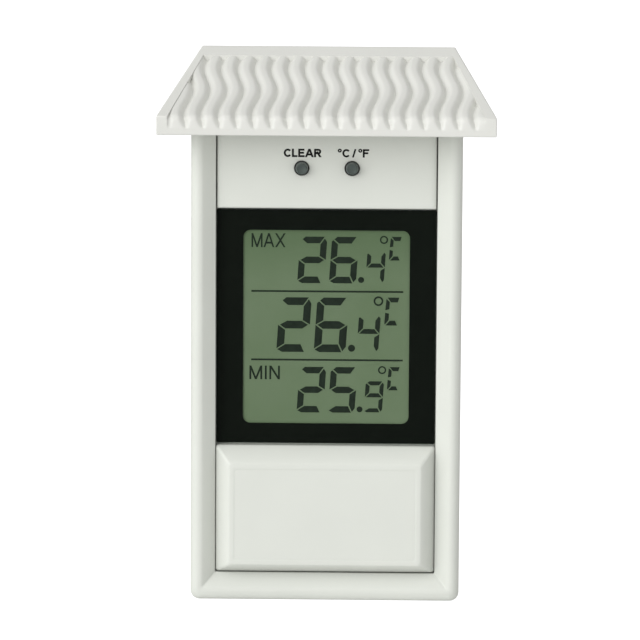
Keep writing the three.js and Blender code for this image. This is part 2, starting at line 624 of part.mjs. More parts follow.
function batteryDoor() {
  const soft = 0.5;
  const heel = BACK_Y - DOOR_HINGE_Y;
  const outline = new THREE.Shape();
  outline.moveTo(BACK_Y, DOOR_HINGE_Z);
  outline.lineTo(BACK_Y, DOOR_TOP - soft);
  outline.lineTo(BACK_Y - soft, DOOR_TOP);
  outline.lineTo(DOOR_INNER_Y, DOOR_TOP);
  outline.lineTo(DOOR_INNER_Y, DOOR_HINGE_Z);
  outline.absarc(DOOR_HINGE_Y, DOOR_HINGE_Z, heel, Math.PI, 2 * Math.PI);
  let door = widened(outline, -DOOR_HALF, DOOR_HALF);
  const ends = [DOOR_HALF - 1, DOOR_HALF + DOOR_PIN_LENGTH];
  for (const [x0, x1] of [ends, [-ends[1], -ends[0]]]) {
    door = door.add(rodAlongX(DOOR_PIN, x0, x1, DOOR_HINGE_Y, DOOR_HINGE_Z, 12));
  }
  for (let i = 0; i < 4; i++) {
    const bottom = 13.5 + 2.2 * i;
    door = door.subtract(block([-7, 7], [BACK_Y - 0.6, BACK_Y + 1], [bottom, bottom + 1.1]));
  }
  addPiece('battery_door', door, 'ivory');
}

// ---- roof ---------------------------------------------------------------------------------

const RIDGE_FRONT_Y = BACK_Y - RIDGE_DEPTH;
const ROOF_SLOPE = (RIDGE_Z - EAVE_RIM) / (RIDGE_FRONT_Y - EAVE_Y);

function rimHeight(y) {
  return EAVE_RIM + (y - EAVE_Y) * ROOF_SLOPE;
}

function hull(points) {
  return solid(new ConvexGeometry(points.map(([x, y, z]) => new THREE.Vector3(x, y, z))));
}

function mirrored(points) {
  return points.flatMap(([x, y, z]) => [[x, y, z], [-x, y, z]]);
}

// Everything over and ahead of the tiled field, inside the flat rims and below the ridge band.
function tiledField() {
  const topY = RIDGE_FRONT_Y - RIDGE_BAND;
  const spread = (EAVE_HALF - RIDGE_HALF) / (RIDGE_FRONT_Y - EAVE_Y);
  const topHalf = RIDGE_HALF + RIDGE_BAND * spread - RIM_AT_RIDGE;
  const frontHalf = EAVE_HALF - RIM_AT_EAVE;
  const aheadHalf = frontHalf + (frontHalf - topHalf) * 4 / (topY - EAVE_Y);
  const corners = [[topHalf, topY], [frontHalf, EAVE_Y], [aheadHalf, EAVE_Y - 4]];
  return hull(mirrored(corners.flatMap(([x, y]) => [[x, y, EAVE_BOTTOM - 5], [x, y, RIDGE_Z + 5]])));
}

// The tiles' line over the roof, from the ridge band down the slope, round a bend and down the
// fascia: points on the outer planes and their outward directions.
function tileStations() {
  const topY = RIDGE_FRONT_Y - RIDGE_BAND;
  const slopeAngle = Math.atan(ROOF_SLOPE);
  const bendY = EAVE_Y + TILE_BEND;
  const bendZ = EAVE_RIM + TILE_BEND * (ROOF_SLOPE - 1 / Math.cos(slopeAngle));
  const bendStartY = bendY - TILE_BEND * Math.sin(slopeAngle);
  const up = [-Math.sin(slopeAngle), Math.cos(slopeAngle)];
  const onSlope = (y) => ({ y, z: rimHeight(y), out: up });
  const stations = [onSlope(topY), onSlope(topY - 0.5), onSlope(topY - 1.2), onSlope(topY - TILE_TIP)];
  const slopeRows = 8;
  const slopeLength = topY - TILE_TIP - bendStartY;
  for (let i = 1; i <= slopeRows; i++) {
    stations.push(onSlope(topY - TILE_TIP - slopeLength * i / slopeRows));
  }
  const bendRows = 3;
  const bendAngle = Math.PI / 2 - slopeAngle;
  for (let i = 1; i <= bendRows; i++) {
    const turn = bendAngle * i / bendRows;
    const out = [-Math.sin(slopeAngle + turn), Math.cos(slopeAngle + turn)];
    stations.push({ y: bendY + TILE_BEND * out[0], z: bendZ + TILE_BEND * out[1], out });
  }
  for (const z of [TILE_END + 0.6, TILE_END + 0.15, TILE_END]) {
    stations.push({ y: EAVE_Y, z, out: [-1, 0] });
  }
  return stations;
}

// How far the tiles lie inside the roof's outer planes: across one tile (-1 to 1), by the distance
// from its tip and by the distance to its lower end.
function tileSink(across, fromTip, toEnd) {
  const tip = Math.min(fromTip / TILE_TIP, 1);
  const reach = 1 - (1 - TILE_TIP_WIDTH) * (1 - Math.sqrt(1 - (1 - tip) ** 2));
  const share = Math.min(Math.abs(across) / reach, 1);
  const end = Math.min(toEnd / 0.6, 1);
  return TILE_TOP_SINK + TILE_DEPTH * share ** 2.2 * Math.sqrt(end);
}

// What is cut away above the tiles. Its columns follow the wave.
function tileCutter() {
  const perTile = 6;
  const thick = 4;
  const columns = [];
  for (let tile = -11; tile <= 10; tile++) {
    for (let i = 0; i < perTile; i++) {
      const across = (2 * i) / perTile - 1;
      columns.push([TILE_SHIFT + TILE_PITCH * (tile + across / 2), across]);
    }
  }
  const lean = TILE_SWAY_LEAN * Math.PI / 180;
  const stations = tileStations();
  const rings = stations.map(({ y, z, out }) => {
    const along = y * Math.sin(lean) + z * Math.cos(lean);
    const sway = TILE_SWAY * Math.cos(2 * Math.PI * (along - TILE_SWAY_RIGHT) / TILE_SWAY_LENGTH);
    const toEnd = y <= EAVE_Y ? z - TILE_END : 1;
    const point = (x, depth) => new THREE.Vector3(x + sway, y - out[0] * depth, z - out[1] * depth);
    const low = columns.map(([x, across]) => point(x, tileSink(across, stations[0].y - y, toEnd)));
    const high = columns.map(([x]) => point(x, -thick));
    return [...low, ...high.reverse()];
  });
  return solid(stripLoft(rings, columns.length)).intersect(tiledField());
}

// A loft of folded rings, whose ends are closed by strips between the two halves of the ring.
function stripLoft(rings, width) {
  const geometry = loft(rings, false);
  const count = rings[0].length;
  const faces = Array.from(geometry.index.array).slice(0, (rings.length - 1) * count * 6);
  const end = (rings.length - 1) * count;
  for (let j = 0; j < width - 1; j++) {
    const back = count - 1 - j;
    faces.push(j, back, j + 1);
    faces.push(j + 1, back, back - 1);
    faces.push(end + j, end + j + 1, end + back);
    faces.push(end + j + 1, end + back - 1, end + back);
  }
  geometry.setIndex(faces);
  return geometry;
}

function roofCanopy() {
  const outer = mirrored([
    [EAVE_HALF, EAVE_Y, EAVE_BOTTOM], [EAVE_BACK_HALF, BACK_Y, EAVE_BOTTOM],
    [EAVE_HALF, EAVE_Y, EAVE_RIM], [EAVE_BACK_HALF, BACK_Y, EAVE_RIM],
    [RIDGE_HALF, RIDGE_FRONT_Y, RIDGE_Z], [RIDGE_HALF, BACK_Y, RIDGE_Z],
  ]);
  const frontHalf = EAVE_HALF - WALL;
  const backHalf = EAVE_BACK_HALF - WALL;
  const frontY = EAVE_Y + WALL;
  const backY = BACK_Y - WALL;
  const ceilingAt = (y) => rimHeight(y) - ROOF_DROP;
  const hip = (EAVE_BACK_HALF - RIDGE_HALF) / (RIDGE_Z - EAVE_RIM);
  const sideZ = EAVE_RIM - 2;
  const ceiling = mirrored([
    [frontHalf, frontY, EAVE_BOTTOM - 2], [backHalf, backY, EAVE_BOTTOM - 2],
    [frontHalf, frontY, ceilingAt(frontY)], [backHalf, backY, sideZ],
    [backHalf - (ceilingAt(backY) - sideZ) * hip, backY, ceilingAt(backY)],
  ]);
  let roof = hull(outer).subtract(hull(ceiling)).subtract(tileCutter());
  const notchHalf = BODY_HALF + GAP;
  const notch = block([-notchHalf, notchHalf], [backY - 3, BACK_Y + 1], [EAVE_BOTTOM - 5, BODY_TOP + GAP]);
  roof = roof.subtract(notch);
  for (const side of [-1, 1]) {
    const x = side * ROOF_SCREW_X;
    roof = roof.add(rodAlongZ(2.7, BODY_TOP + GAP, ceilingAt(ROOF_SCREW_Y) + 1.6, x, ROOF_SCREW_Y, 16));
    roof = roof.subtract(rodAlongZ(1.35, BODY_TOP, BODY_TOP + 4.6, x, ROOF_SCREW_Y, 12));
  }
  addPiece('roof_canopy', roof, 'roof');
}

// ---- screws -------------------------------------------------------------------------------

// A pan-head screw: the shank runs from 0 to -length and the head stands above 0.
function plainScrew(length, headRadius, headHeight) {
  const rim = headHeight * 0.45;
  const profile = [
    [0, -length], [0.5, -length], [SCREW_SHANK, -length + 1], [SCREW_SHANK, 0],
    [headRadius, 0], [headRadius, rim], [headRadius * 0.7, headHeight], [0, headHeight],
  ];
  return turned(profile, 12).rotateX(Math.PI / 2);
}

function crossScrew(length, headRadius, headHeight) {
  const slotHalf = 0.2;
  const reach = headRadius * 0.55;
  const depth = [headHeight - 0.5, headHeight + 1];
  const cross = block([-reach, reach], [-slotHalf, slotHalf], depth)
    .add(block([-slotHalf, slotHalf], [-reach, reach], depth));
  return geometryOf(solid(plainScrew(length, headRadius, headHeight)).subtract(cross));
}

function screws() {
  let caseNumber = 1;
  let boardNumber = 1;
  let roofNumber = 1;
  for (const side of [-1, 1]) {
    for (const z of CASE_SCREW_Z) {
      const seat = PARTING_Y + PARTING_GAP + WELL_FLOOR + 0.1;
      const screw = crossScrew(6.6, 2.1, 1.5).rotateX(-Math.PI / 2);
      addPiece(`case_screw_${caseNumber++}`, screw, 'steel', side * CASE_SCREW_X, seat, z);
    }
    for (const z of BOARD_SCREW_Z) {
      const seat = BOARD_BACK_Y + 0.1;
      const screw = plainScrew(5, 1.9, 1.3).rotateX(-Math.PI / 2);
      addPiece(`board_screw_${boardNumber++}`, screw, 'steel', side * BOARD_SCREW_X, seat, z);
    }
    const screw = plainScrew(6, 1.9, 1.3).rotateX(Math.PI);
    addPiece(`roof_screw_${roofNumber++}`, screw, 'steel', side * ROOF_SCREW_X, ROOF_SCREW_Y, BODY_TOP - 1.6);
  }
}

frontFrame();
keyPlate();
lowerPanel();
display();
keys();
mainBoard();
battery();
rearCover();
batteryDoor();
roofCanopy();
screws();

export default thermometer;
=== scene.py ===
# Looks for a digital maximum minimum thermometer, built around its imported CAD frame.
# Shapes are worked out in millimetres in the part's frame, and become metres when they are
# finished: +Z up, +X to the right seen from the front, the front faces -Y.

import json
import math

import bmesh
import bpy
from mathutils import Matrix, Vector


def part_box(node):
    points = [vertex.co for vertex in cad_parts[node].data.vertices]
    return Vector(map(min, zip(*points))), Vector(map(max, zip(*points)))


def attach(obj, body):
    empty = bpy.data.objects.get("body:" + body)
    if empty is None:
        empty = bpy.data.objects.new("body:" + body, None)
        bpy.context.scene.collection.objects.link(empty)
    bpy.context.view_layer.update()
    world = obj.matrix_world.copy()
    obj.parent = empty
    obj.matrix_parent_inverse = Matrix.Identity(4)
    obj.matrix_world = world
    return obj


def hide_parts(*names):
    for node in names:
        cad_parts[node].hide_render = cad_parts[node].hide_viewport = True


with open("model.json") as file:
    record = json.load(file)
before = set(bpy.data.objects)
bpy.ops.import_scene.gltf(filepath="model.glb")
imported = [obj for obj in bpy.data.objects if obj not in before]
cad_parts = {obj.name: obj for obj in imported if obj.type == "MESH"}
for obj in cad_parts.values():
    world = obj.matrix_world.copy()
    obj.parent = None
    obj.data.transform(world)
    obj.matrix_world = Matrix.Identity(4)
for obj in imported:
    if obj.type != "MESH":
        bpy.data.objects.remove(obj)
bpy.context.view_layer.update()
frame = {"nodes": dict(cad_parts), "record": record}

MM = 0.001


def box(node):
    """The lowest and highest corners of a CAD node, in millimetres."""
    low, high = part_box(node)
    return low / MM, high / MM


def middle(node):
    """The x and z of a CAD node's middle."""
    low, high = box(node)
    return (low.x + high.x) / 2, (low.z + high.z) / 2


# ---- dimensions ---------------------------------------------------------------------------

ROOF_LOW, ROOF_HIGH = box("roof_canopy")
REAR_LOW, REAR_HIGH = box("rear_cover")
FRONT_LOW, FRONT_HIGH = box("front_frame")
LENS_LOW, LENS_HIGH = box("display_lens")
MASK_LOW, MASK_HIGH = box("lens_mask")
FILM_LOW, FILM_HIGH = box("lcd_front_polarizer")
PLATE_LOW, PLATE_HIGH = box("key_plate")
PANEL_LOW, PANEL_HIGH = box("lower_panel")
DOOR_LOW, DOOR_HIGH = box("battery_door")
CELL_LOW, CELL_HIGH = box("battery_cell")

BACK_Y = ROOF_HIGH.y
WALL = 1.8
GAP = 0.3

BODY_HALF = REAR_HIGH.x
BODY_TOP = REAR_HIGH.z
BODY_CORNER = 2.2
BODY_SOFT = 0.7
CREST_Y = FRONT_LOW.y
CREST_RADIUS = 2.2
PARTING_Y = FRONT_HIGH.y
POCKET_HALF = 26.4
POCKET_BOTTOM = 6.6
POCKET_TOP = 113.5
FLOOR_FRONT_Y = -0.2
FLOOR_BACK_Y = 1.4

RIDGE_Z = ROOF_HIGH.z
EAVE_Y = ROOF_LOW.y
EAVE_HALF = ROOF_HIGH.x
EAVE_BOTTOM = ROOF_LOW.z
EAVE_BACK_HALF = 37.6
EAVE_RIM = 118.3
RIDGE_HALF = 30.4
RIDGE_DEPTH = 1
RIM_AT_RIDGE = 1.7
RIM_AT_EAVE = 2.6
RIDGE_BAND = 4.1
ROOF_DROP = 4.2
TILE_PITCH = 4
TILE_DEPTH = 1.1
TILE_TOP_SINK = 0.12
TILE_TIP = 2
TILE_TIP_WIDTH = 0.67
TILE_END = 115.3
TILE_BEND = 2.2
TILE_SWAY = 0.9
TILE_SWAY_LEAN = 8.5
TILE_SWAY_LENGTH = 11.7
TILE_SWAY_RIGHT = 121.9
TILE_SHIFT = 1.3
TILE_FADE = 2.0
TILE_SWAY_EASE = 0.45

LENS_CORNER = 0.4
LENS_SOFT = 0.18
WINDOW_HALF = 19.9
WINDOW_BOTTOM = 42.7
WINDOW_TOP = 89.5
WINDOW_CORNER = 1.8
GLASS_LOW, GLASS_HIGH = box("lcd_glass")

PLATE_BORDER = 1.3
PLATE_LIP = 0.4
KEY_RADIUS = 1.57
KEY_CROWN = 1.34
KEY_ROUND = 0.22
PANEL_SKIRT_Y = -2.2
PANEL_BEVEL_SIDE = 3.3
PANEL_BEVEL_TOP = 4.2
PANEL_BEVEL_BOTTOM = 2.2
PANEL_BULGE = 1.35
PANEL_CORNER = 0.7
PANEL_SNUG = 0.26

BAY_HALF = 25
BAY_BOTTOM = 8.3
BAY_TOP = 19.9
BAY_FLOOR_Y = 2.9
BAY_WALL = 1.2
DOOR_HALF = 26.6
DOOR_INNER_Y = DOOR_LOW.y
DOOR_HEEL = (BACK_Y - DOOR_INNER_Y) / 2
DOOR_HINGE_Y = DOOR_INNER_Y + DOOR_HEEL
DOOR_HINGE_Z = DOOR_LOW.z + DOOR_HEEL
DOOR_PIN = 0.45
DOOR_SOFT = 0.45
GRIP_X = (-7, 7)
GRIP_BOTTOM = 13.5
GRIP_HEIGHT = 1.1
GRIP_PITCH = 2.2
GRIP_COUNT = 4
RECESS_Y = 14.05
SCOOP_RADIUS = 9
SCOOP_DEPTH = 1.3
KEYHOLE_Z = 96
KEYHOLE_RADIUS = 4.2
KEYHOLE_SLOT = 2.1
KEYHOLE_RISE = 8
VENT_X = (-22, -8)
VENT_BOTTOM = 38
VENT_HEIGHT = 1.2
VENT_PITCH = 3
VENT_COUNT = 5
CASE_SCREWS = [(side * 28.2, z) for side in (-1, 1) for z in (27, 111)]
BOARD_SCREWS = [(side * 21, z) for side in (-1, 1) for z in (34, 99.5)]
ROOF_SCREW_X = 18
ROOF_SCREW_Y = 3.7
SCREW_HOLE = 1.35


# ---- shapes -------------------------------------------------------------------------------


def placed(name, data):
    """An object for some data, in the scene."""
    obj = bpy.data.objects.new(name, data)
    bpy.context.scene.collection.objects.link(obj)
    return obj


def as_object(name, work):
    """A finished bmesh as an object."""
    mesh = bpy.data.meshes.new(name)
    work.to_mesh(mesh)
    work.free()
    return placed(name, mesh)


def shape(name, points, faces):
    """A mesh object in millimetres, its faces turned outwards."""
    mesh = bpy.data.meshes.new(name)
    mesh.from_pydata([tuple(p) for p in points], [], faces)
    work = bmesh.new()
    work.from_mesh(mesh)
    bmesh.ops.recalc_face_normals(work, faces=work.faces)
    work.to_mesh(mesh)
    work.free()
    return placed(name, mesh)


def loft(name, rings, closed=False):
    """A skin through rings with the same number of points, capped unless it closes on itself."""
    count = len(rings[0])
    points = [p for ring in rings for p in ring]
    faces = []
    for i in range(len(rings) if closed else len(rings) - 1):
        here = i * count
        there = (i + 1) % len(rings) * count
        for j in range(count):
            k = (j + 1) % count
            faces.append((here + j, here + k, there + k, there + j))
    if not closed:
        faces.append(tuple(range(count)))
        faces.append(tuple(range(len(points) - count, len(points))))
    return shape(name, points, faces)


def arc(cx, cz, radius, start, end, steps):
    """Points round an arc, as pairs, with the angles in degrees."""
    angles = [math.radians(start + (end - start) * i / steps) for i in range(steps + 1)]
    return [(cx + radius * math.cos(a), cz + radius * math.sin(a)) for a in angles]


def circle(cx, cz, radius, sides=40):
    return arc(cx, cz, radius, 0, 360 * (1 - 1 / sides), sides - 1)


def rounded(across, up, radius, steps=8):
    """The outline of a rounded rectangle, as pairs of x and z."""
    (x0, x1), (z0, z1) = across, up
    return (
        arc(x1 - radius, z0 + radius, radius, -90, 0, steps)
        + arc(x1 - radius, z1 - radius, radius, 0, 90, steps)
        + arc(x0 + radius, z1 - radius, radius, 90, 180, steps)
        + arc(x0 + radius, z0 + radius, radius, 180, 270, steps)
    )


def face_of(low, high, corner, steps=8, inset=0):
    """The rounded outline of a box seen from the front, drawn in by an inset."""
    across = (low.x + inset, high.x - inset)
    return rounded(across, (low.z + inset, high.z - inset), corner, steps)


def quarter(steps):
    """The sines and cosines of the steps of a quarter turn."""
    angles = [i / steps * math.pi / 2 for i in range(steps + 1)]
    return [(math.sin(a), math.cos(a)) for a in angles]


def at_y(outline, y):
    return [(x, y, z) for x, z in outline]


def slab(name, outline, y0, y1):
    """An outline of x and z pairs, given thickness from front to back."""
    return loft(name, [at_y(outline, y0), at_y(outline, y1)])


def block(name, x, y, z):
    """A box from its low and high limits along each axis."""
    return slab(name, [(x[0], z[0]), (x[1], z[0]), (x[1], z[1]), (x[0], z[1])], y[0], y[1])


def rod(name, radius, start, end, sides=32):
    """A round bar between two points."""
    start, end = Vector(start), Vector(end)
    turn = (end - start).to_track_quat("Z", "Y")
    rings = []
    for centre in (start, end):
        rings.append([centre + turn @ Vector((x, y, 0)) for x, y in circle(0, 0, radius, sides)])
    return loft(name, rings)


def turned(name, profile, centre, sides=64):
    """A turned shape along Y, from pairs of radius and distance."""
    return loft(name, [at_y(circle(*centre, radius, sides), y) for radius, y in profile])


def tube(name, path, radius, sides=12):
    """A round wire along a list of points."""
    rings = []
    for i, point in enumerate(path):
        ahead = path[min(i + 1, len(path) - 1)] - path[max(i - 1, 0)]
        turn = ahead.to_track_quat("Z", "X")
        rings.append([point + turn @ Vector((x, y, 0)) for x, y in circle(0, 0, radius, sides)])
    return loft(name, rings)


def hull(name, points):
    """The solid with flat faces round a set of points."""
    work = bmesh.new()
    for point in points:
        work.verts.new(point)
    bmesh.ops.convex_hull(work, input=work.verts)
    bmesh.ops.dissolve_limit(work, angle_limit=0.01, verts=work.verts, edges=work.edges)
    bmesh.ops.recalc_face_normals(work, faces=work.faces)
    return as_object(name, work)


def mirrored(points):
    return [(side * x, y, z) for x, y, z in points for side in (1, -1)]


def apply_modifiers(obj):
    bpy.context.view_layer.update()
    graph = bpy.context.evaluated_depsgraph_get()
    mesh = bpy.data.meshes.new_from_object(obj.evaluated_get(graph))
    old = obj.data
    obj.modifiers.clear()
    obj.data = mesh
    bpy.data.meshes.remove(old)
    return obj


def combine(target, others, operation):
    for other in others:
        modifier = target.modifiers.new("combine", "BOOLEAN")
        modifier.operation = operation
        modifier.solver = "EXACT"
        modifier.object = other
        apply_modifiers(target)
        bpy.data.objects.remove(other)
    return target


def cut(target, *others):
    return combine(target, others, "DIFFERENCE")


def join(target, *others):
    return combine(target, others, "UNION")


def soften(obj, width, segments=3, angle=30):
    """Rounds the edges that turn by more than an angle."""
    modifier = obj.modifiers.new("soften", "BEVEL")
    modifier.width = width
    modifier.segments = segments
    modifier.limit_method = "ANGLE"
    modifier.angle_limit = math.radians(angle)
    return apply_modifiers(obj)


def settle(obj, slot, nodes=(), body="housing", sharp=32, material=None):
    """Takes a shape to metres and gives it its slot's finish or another material, its body and
    the nodes it stands for."""
    work = bmesh.new()
    work.from_mesh(obj.data)
    bmesh.ops.remove_doubles(work, verts=work.verts, dist=1e-4)
    bmesh.ops.dissolve_degenerate(work, edges=work.edges, dist=1e-4)
    bmesh.ops.scale(work, verts=work.verts, vec=(MM, MM, MM))
    for face in work.faces:
        face.smooth = True
    work.to_mesh(obj.data)
    work.free()
    obj.data.set_sharp_from_angle(angle=math.radians(sharp))
    modifier = obj.modifiers.new("normals", "WEIGHTED_NORMAL")
    modifier.keep_sharp = True
    apply_modifiers(obj)
    obj.data.materials.clear()
    obj.data.materials.append(material or FINISHES[slot])
    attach(obj, body)
    if nodes:
        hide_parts(*nodes)
    return obj


# ---- materials ----------------------------------------------------------------------------


class Nodes:
    """A node tree that starts with only its output."""

    def __init__(self, owner, end):
        owner.use_nodes = True
        self.tree = owner.node_tree
        self.tree.nodes.clear()
        self.output = self.tree.nodes.new(end)

    def node(self, kind, **inputs):
        """A node with its sockets set by name: a socket is linked, anything else is a value."""
        node = self.tree.nodes.new(kind)
        for name, value in inputs.items():
            socket = node.inputs[name.replace("_", " ")]
            if isinstance(value, bpy.types.NodeSocket):
                self.tree.links.new(value, socket)
            else:
                socket.default_value = value
        return node

    def between(self, fac, low, high, from_low=0.3, from_high=0.7):
        """A number that runs from low to high as fac does."""
        spread = self.node("ShaderNodeMapRange", Value=fac, To_Min=low, To_Max=high)
        spread.inputs["From Min"].default_value = from_low
        spread.inputs["From Max"].default_value = from_high
        return spread.outputs[0]

    def times(self, first, second):
        product = self.tree.nodes.new("ShaderNodeMath")
        product.operation = "MULTIPLY"
        self.tree.links.new(first, product.inputs[0])
        self.tree.links.new(second, product.inputs[1])
        return product.outputs[0]

    def end_with(self, kind, *sources):
        """Ends the tree in a shader that joins others."""
        last = self.tree.nodes.new(kind)
        for socket, source in zip(last.inputs, sources):
            self.tree.links.new(source, socket)
        self.tree.links.new(last.outputs[0], self.output.inputs[0])


class Finish(Nodes):
    """One material, with short calls for the nodes that the finishes share."""

    def __init__(self, name):
        self.material = bpy.data.materials.new(name)
        super().__init__(self.material, "ShaderNodeOutputMaterial")
        self.place = self.node("ShaderNodeTexCoord").outputs["Object"]

    def noise(self, size, detail=2.0, stretch=None, roughness=0.5):
        """Noise whose lumps are about that many millimetres across, from 0 to 1."""
        place = self.place
        if stretch:
            place = self.node("ShaderNodeMapping", Vector=place, Scale=stretch).outputs[0]
        values = {"Scale": 1 / (size * MM), "Detail": detail, "Roughness": roughness}
        return self.node("ShaderNodeTexNoise", Vector=place, **values).outputs["Fac"]

    def uneven(self, size, low, high):
        """A number that wanders between two values over that many millimetres."""
        return self.between(self.noise(size), low, high)

    def mottled(self, colour, size, detail=2, by=0.15):
        """A colour that wanders a little darker and lighter."""
        dark, pale = tinted(colour, 1 - by), tinted(colour, 1 + by)
        return self.colours(self.noise(size, detail), dark, pale)

    def height(self):
        return self.node("ShaderNodeSeparateXYZ", Vector=self.place).outputs["Z"]

    def colours(self, fac, low, high, from_low=0.3, from_high=0.7):
        """A colour that runs from low to high as fac does."""
        mix = self.tree.nodes.new("ShaderNodeMix")
        mix.data_type = "RGBA"
        self.tree.links.new(self.between(fac, 0, 1, from_low, from_high), mix.inputs["Factor"])
        for socket, colour in (("A", low), ("B", high)):
            found = [s for s in mix.inputs if s.name == socket and s.type == "RGBA"][0]
            if isinstance(colour, bpy.types.NodeSocket):
                self.tree.links.new(colour, found)
            else:
                found.default_value = (*colour, 1)
        return [s for s in mix.outputs if s.type == "RGBA"][0]

    def bump(self, height, distance, strength=1.0, normal=None):
        """A bump of that many millimetres."""
        far = distance * MM
        node = self.node("ShaderNodeBump", Height=height, Strength=strength, Distance=far)
        if normal:
            self.tree.links.new(normal, node.inputs["Normal"])
        return node.outputs[0]

    def round_edges(self, radius):
        edge = self.tree.nodes.new("ShaderNodeBevel")
        edge.samples = 4
        edge.inputs["Radius"].default_value = radius * MM
        return edge.outputs[0]

    def crevices(self, reach):
        """0 deep in a corner and 1 in the open."""
        open_air = self.tree.nodes.new("ShaderNodeAmbientOcclusion")
        open_air.samples = 4
        open_air.inputs["Distance"].default_value = reach * MM
        return open_air.outputs["AO"]

    def surface(self, **inputs):
        """Ends the tree in a Principled surface."""
        shader = self.node("ShaderNodeBsdfPrincipled", **inputs)
        self.tree.links.new(shader.outputs[0], self.output.inputs[0])
        return self.material


def tinted(colour, by):
    return tuple(c * by for c in colour)


def moulded_plastic(name, colour, gloss, corner=0.6, reach=5.0, grain=0.22, edge=0.18):
    """ABS from a fine spark-eroded mould: slow clouds of tone, satin grain, soft edges, and
    painted shade that darkens its corners and crevices, left off along the foot it stands on."""
    f = Finish(name)
    tone = f.colours(f.noise(14, 3), tinted(colour, 0.985), tinted(colour, 1.01))
    # painted shade: the colour darkens in corners and crevices, where ambient light is blocked
    painted_shade = f.colours(f.crevices(reach), tinted(colour, corner), tone, 0.08, 0.97)
    # the painted shade is left off near the foot, so the floor beside it doesn't darken the bottom
    # edge
    painted_shade = f.colours(f.height(), tone, painted_shade, FOOT_UNSHADED * MM, 4 * FOOT_UNSHADED * MM)
    flow = f.noise(7, 2, (1, 1, 0.35))
    normal = f.bump(flow, 0.02, 0.25, f.round_edges(edge))
    normal = f.bump(f.noise(grain, 2), 0.006, 0.35, normal)
    return f.surface(
        Base_Color=painted_shade,
        Roughness=f.uneven(0.6, gloss - 0.05, gloss + 0.06),
        Specular_IOR_Level=0.45,
        Normal=normal,
    )


def black_print():
    """Ink screen-printed on the back of the lens."""
    f = Finish("black_ink")
    tone = f.colours(f.noise(9, 3), (0.0034, 0.0056, 0.0036), (0.0048, 0.0072, 0.0048))
    return f.surface(
        Base_Color=tone,
        Roughness=f.uneven(0.5, 0.5, 0.62),
        Specular_IOR_Level=0.08,
        Normal=f.bump(f.noise(1.5, 2), 0.004, 0.2),
    )


def clear_lens():
    """Polished acrylic: what is behind shows through, and its front face mirrors a little."""
    f = Finish("clear_acrylic")
    smear = f.between(f.noise(6, 4, (1, 1, 0.5), 0.6), 0.03, 0.11)
    scratched = f.bump(f.noise(0.3, 2, (1, 1, 0.06)), 0.002, 0.12)
    mirror = f.node("ShaderNodeBsdfGlossy", Roughness=smear, Normal=scratched)
    clear = f.node("ShaderNodeBsdfTransparent", Color=(0.955, 0.97, 0.955, 1))
    share = f.node("ShaderNodeFresnel", IOR=1.36)
    inside = f.node("ShaderNodeNewGeometry").outputs["Backfacing"]
    from_outside = f.times(share.outputs[0], f.between(inside, 1, 0, 0, 1))
    f.end_with("ShaderNodeMixShader", from_outside, clear.outputs[0], mirror.outputs[0])
    return f.material


def display_film():
    """The grey-green face of an unlit liquid crystal display, with painted shade that darkens it
    towards its top.
    """
    f = Finish("display_film")
    tone = f.colours(f.noise(16, 3), (0.164, 0.226, 0.130), (0.192, 0.252, 0.158))
    # painted shade: the film's colour darkens over its top 13 mm
    fade_from, fade_to = (FILM_HIGH.z - 13) * MM, (FILM_HIGH.z - 1) * MM
    tone = f.colours(f.height(), tone, (0.128, 0.188, 0.100), fade_from, fade_to)
    grain = f.noise(0.1, 1)
    return f.surface(
        Base_Color=f.colours(grain, tone, (0.19, 0.25, 0.155), 0.45, 1.6),
        Roughness=f.uneven(0.4, 0.38, 0.5),
        Specular_IOR_Level=0.25,
        Normal=f.bump(grain, 0.001, 0.15),
    )


def plain_part(name, colour, gloss, skin, mottle=(1.8, 3), edge=None, **fixed):
    """A part with a slightly uneven colour, gloss and skin. gloss is the size of its patches and
    its lowest and highest roughness; skin is its lumps' size, detail, height and strength."""
    f = Finish(name)
    size, detail, height, strength = skin
    normal = f.round_edges(edge) if edge else None
    return f.surface(
        Base_Color=f.mottled(colour, *mottle),
        Roughness=f.uneven(*gloss),
        Normal=f.bump(f.noise(size, detail), height, strength, normal),
        **fixed,
    )


def ink(name, colour):
    """Dark segments or printed letters."""
    gloss, skin = (0.3, 0.5, 0.65), (0.08, 1, 0.003, 0.4)
    return plain_part(name, colour, gloss, skin, (1.2, 2), Specular_IOR_Level=0.2)


def component(name, colour, roughness, metallic=0.0, lump=0.4):
    """A small moulded or cast component."""
    gloss = (0.5, roughness - 0.07, roughness + 0.07)
    skin = (lump, 2, 0.015, 0.4)
    return plain_part(name, colour, gloss, skin, edge=0.1, Metallic=metallic)


def wire_jacket(name, colour):
    """PVC insulation with a dull, slightly wavy skin."""
    return plain_part(name, colour, (0.4, 0.34, 0.5), (0.8, 2, 0.02, 0.4), (1.5, 2))


def silicone(name, colour, roughness=0.62):
    """Moulded silicone rubber, matt with a faint bloom and fine grain, and painted shade that
    darkens it where it meets other parts.
    """
    f = Finish(name)
    tone = f.mottled(colour, 1.6, 3, 0.12)
    # painted shade: darker where the rubber is hemmed in by other parts
    painted_shade = f.colours(f.crevices(0.9), tinted(colour, 0.3), tone, 0.3, 0.9)
    normal = f.bump(f.noise(0.09, 2), 0.006, 0.5, f.round_edges(0.1))
    return f.surface(
        Base_Color=painted_shade,
        Roughness=f.uneven(0.25, roughness - 0.08, roughness + 0.08),
        Specular_IOR_Level=0.35,
        Sheen_Weight=0.15,
        Normal=normal,
    )


def plated_steel():
    """Nickel plating with drawn marks and a few duller patches."""
    f = Finish("plated_steel")
    drawn = f.noise(0.12, 2, (1, 1, 0.08))
    tone = f.colours(f.noise(2.5, 3), (0.52, 0.51, 0.49), (0.66, 0.65, 0.62))
    return f.surface(
        Base_Color=tone,
        Metallic=1.0,
        Roughness=f.between(drawn, 0.22, 0.4),
        Normal=f.bump(drawn, 0.004, 0.35, f.round_edges(0.08)),
    )


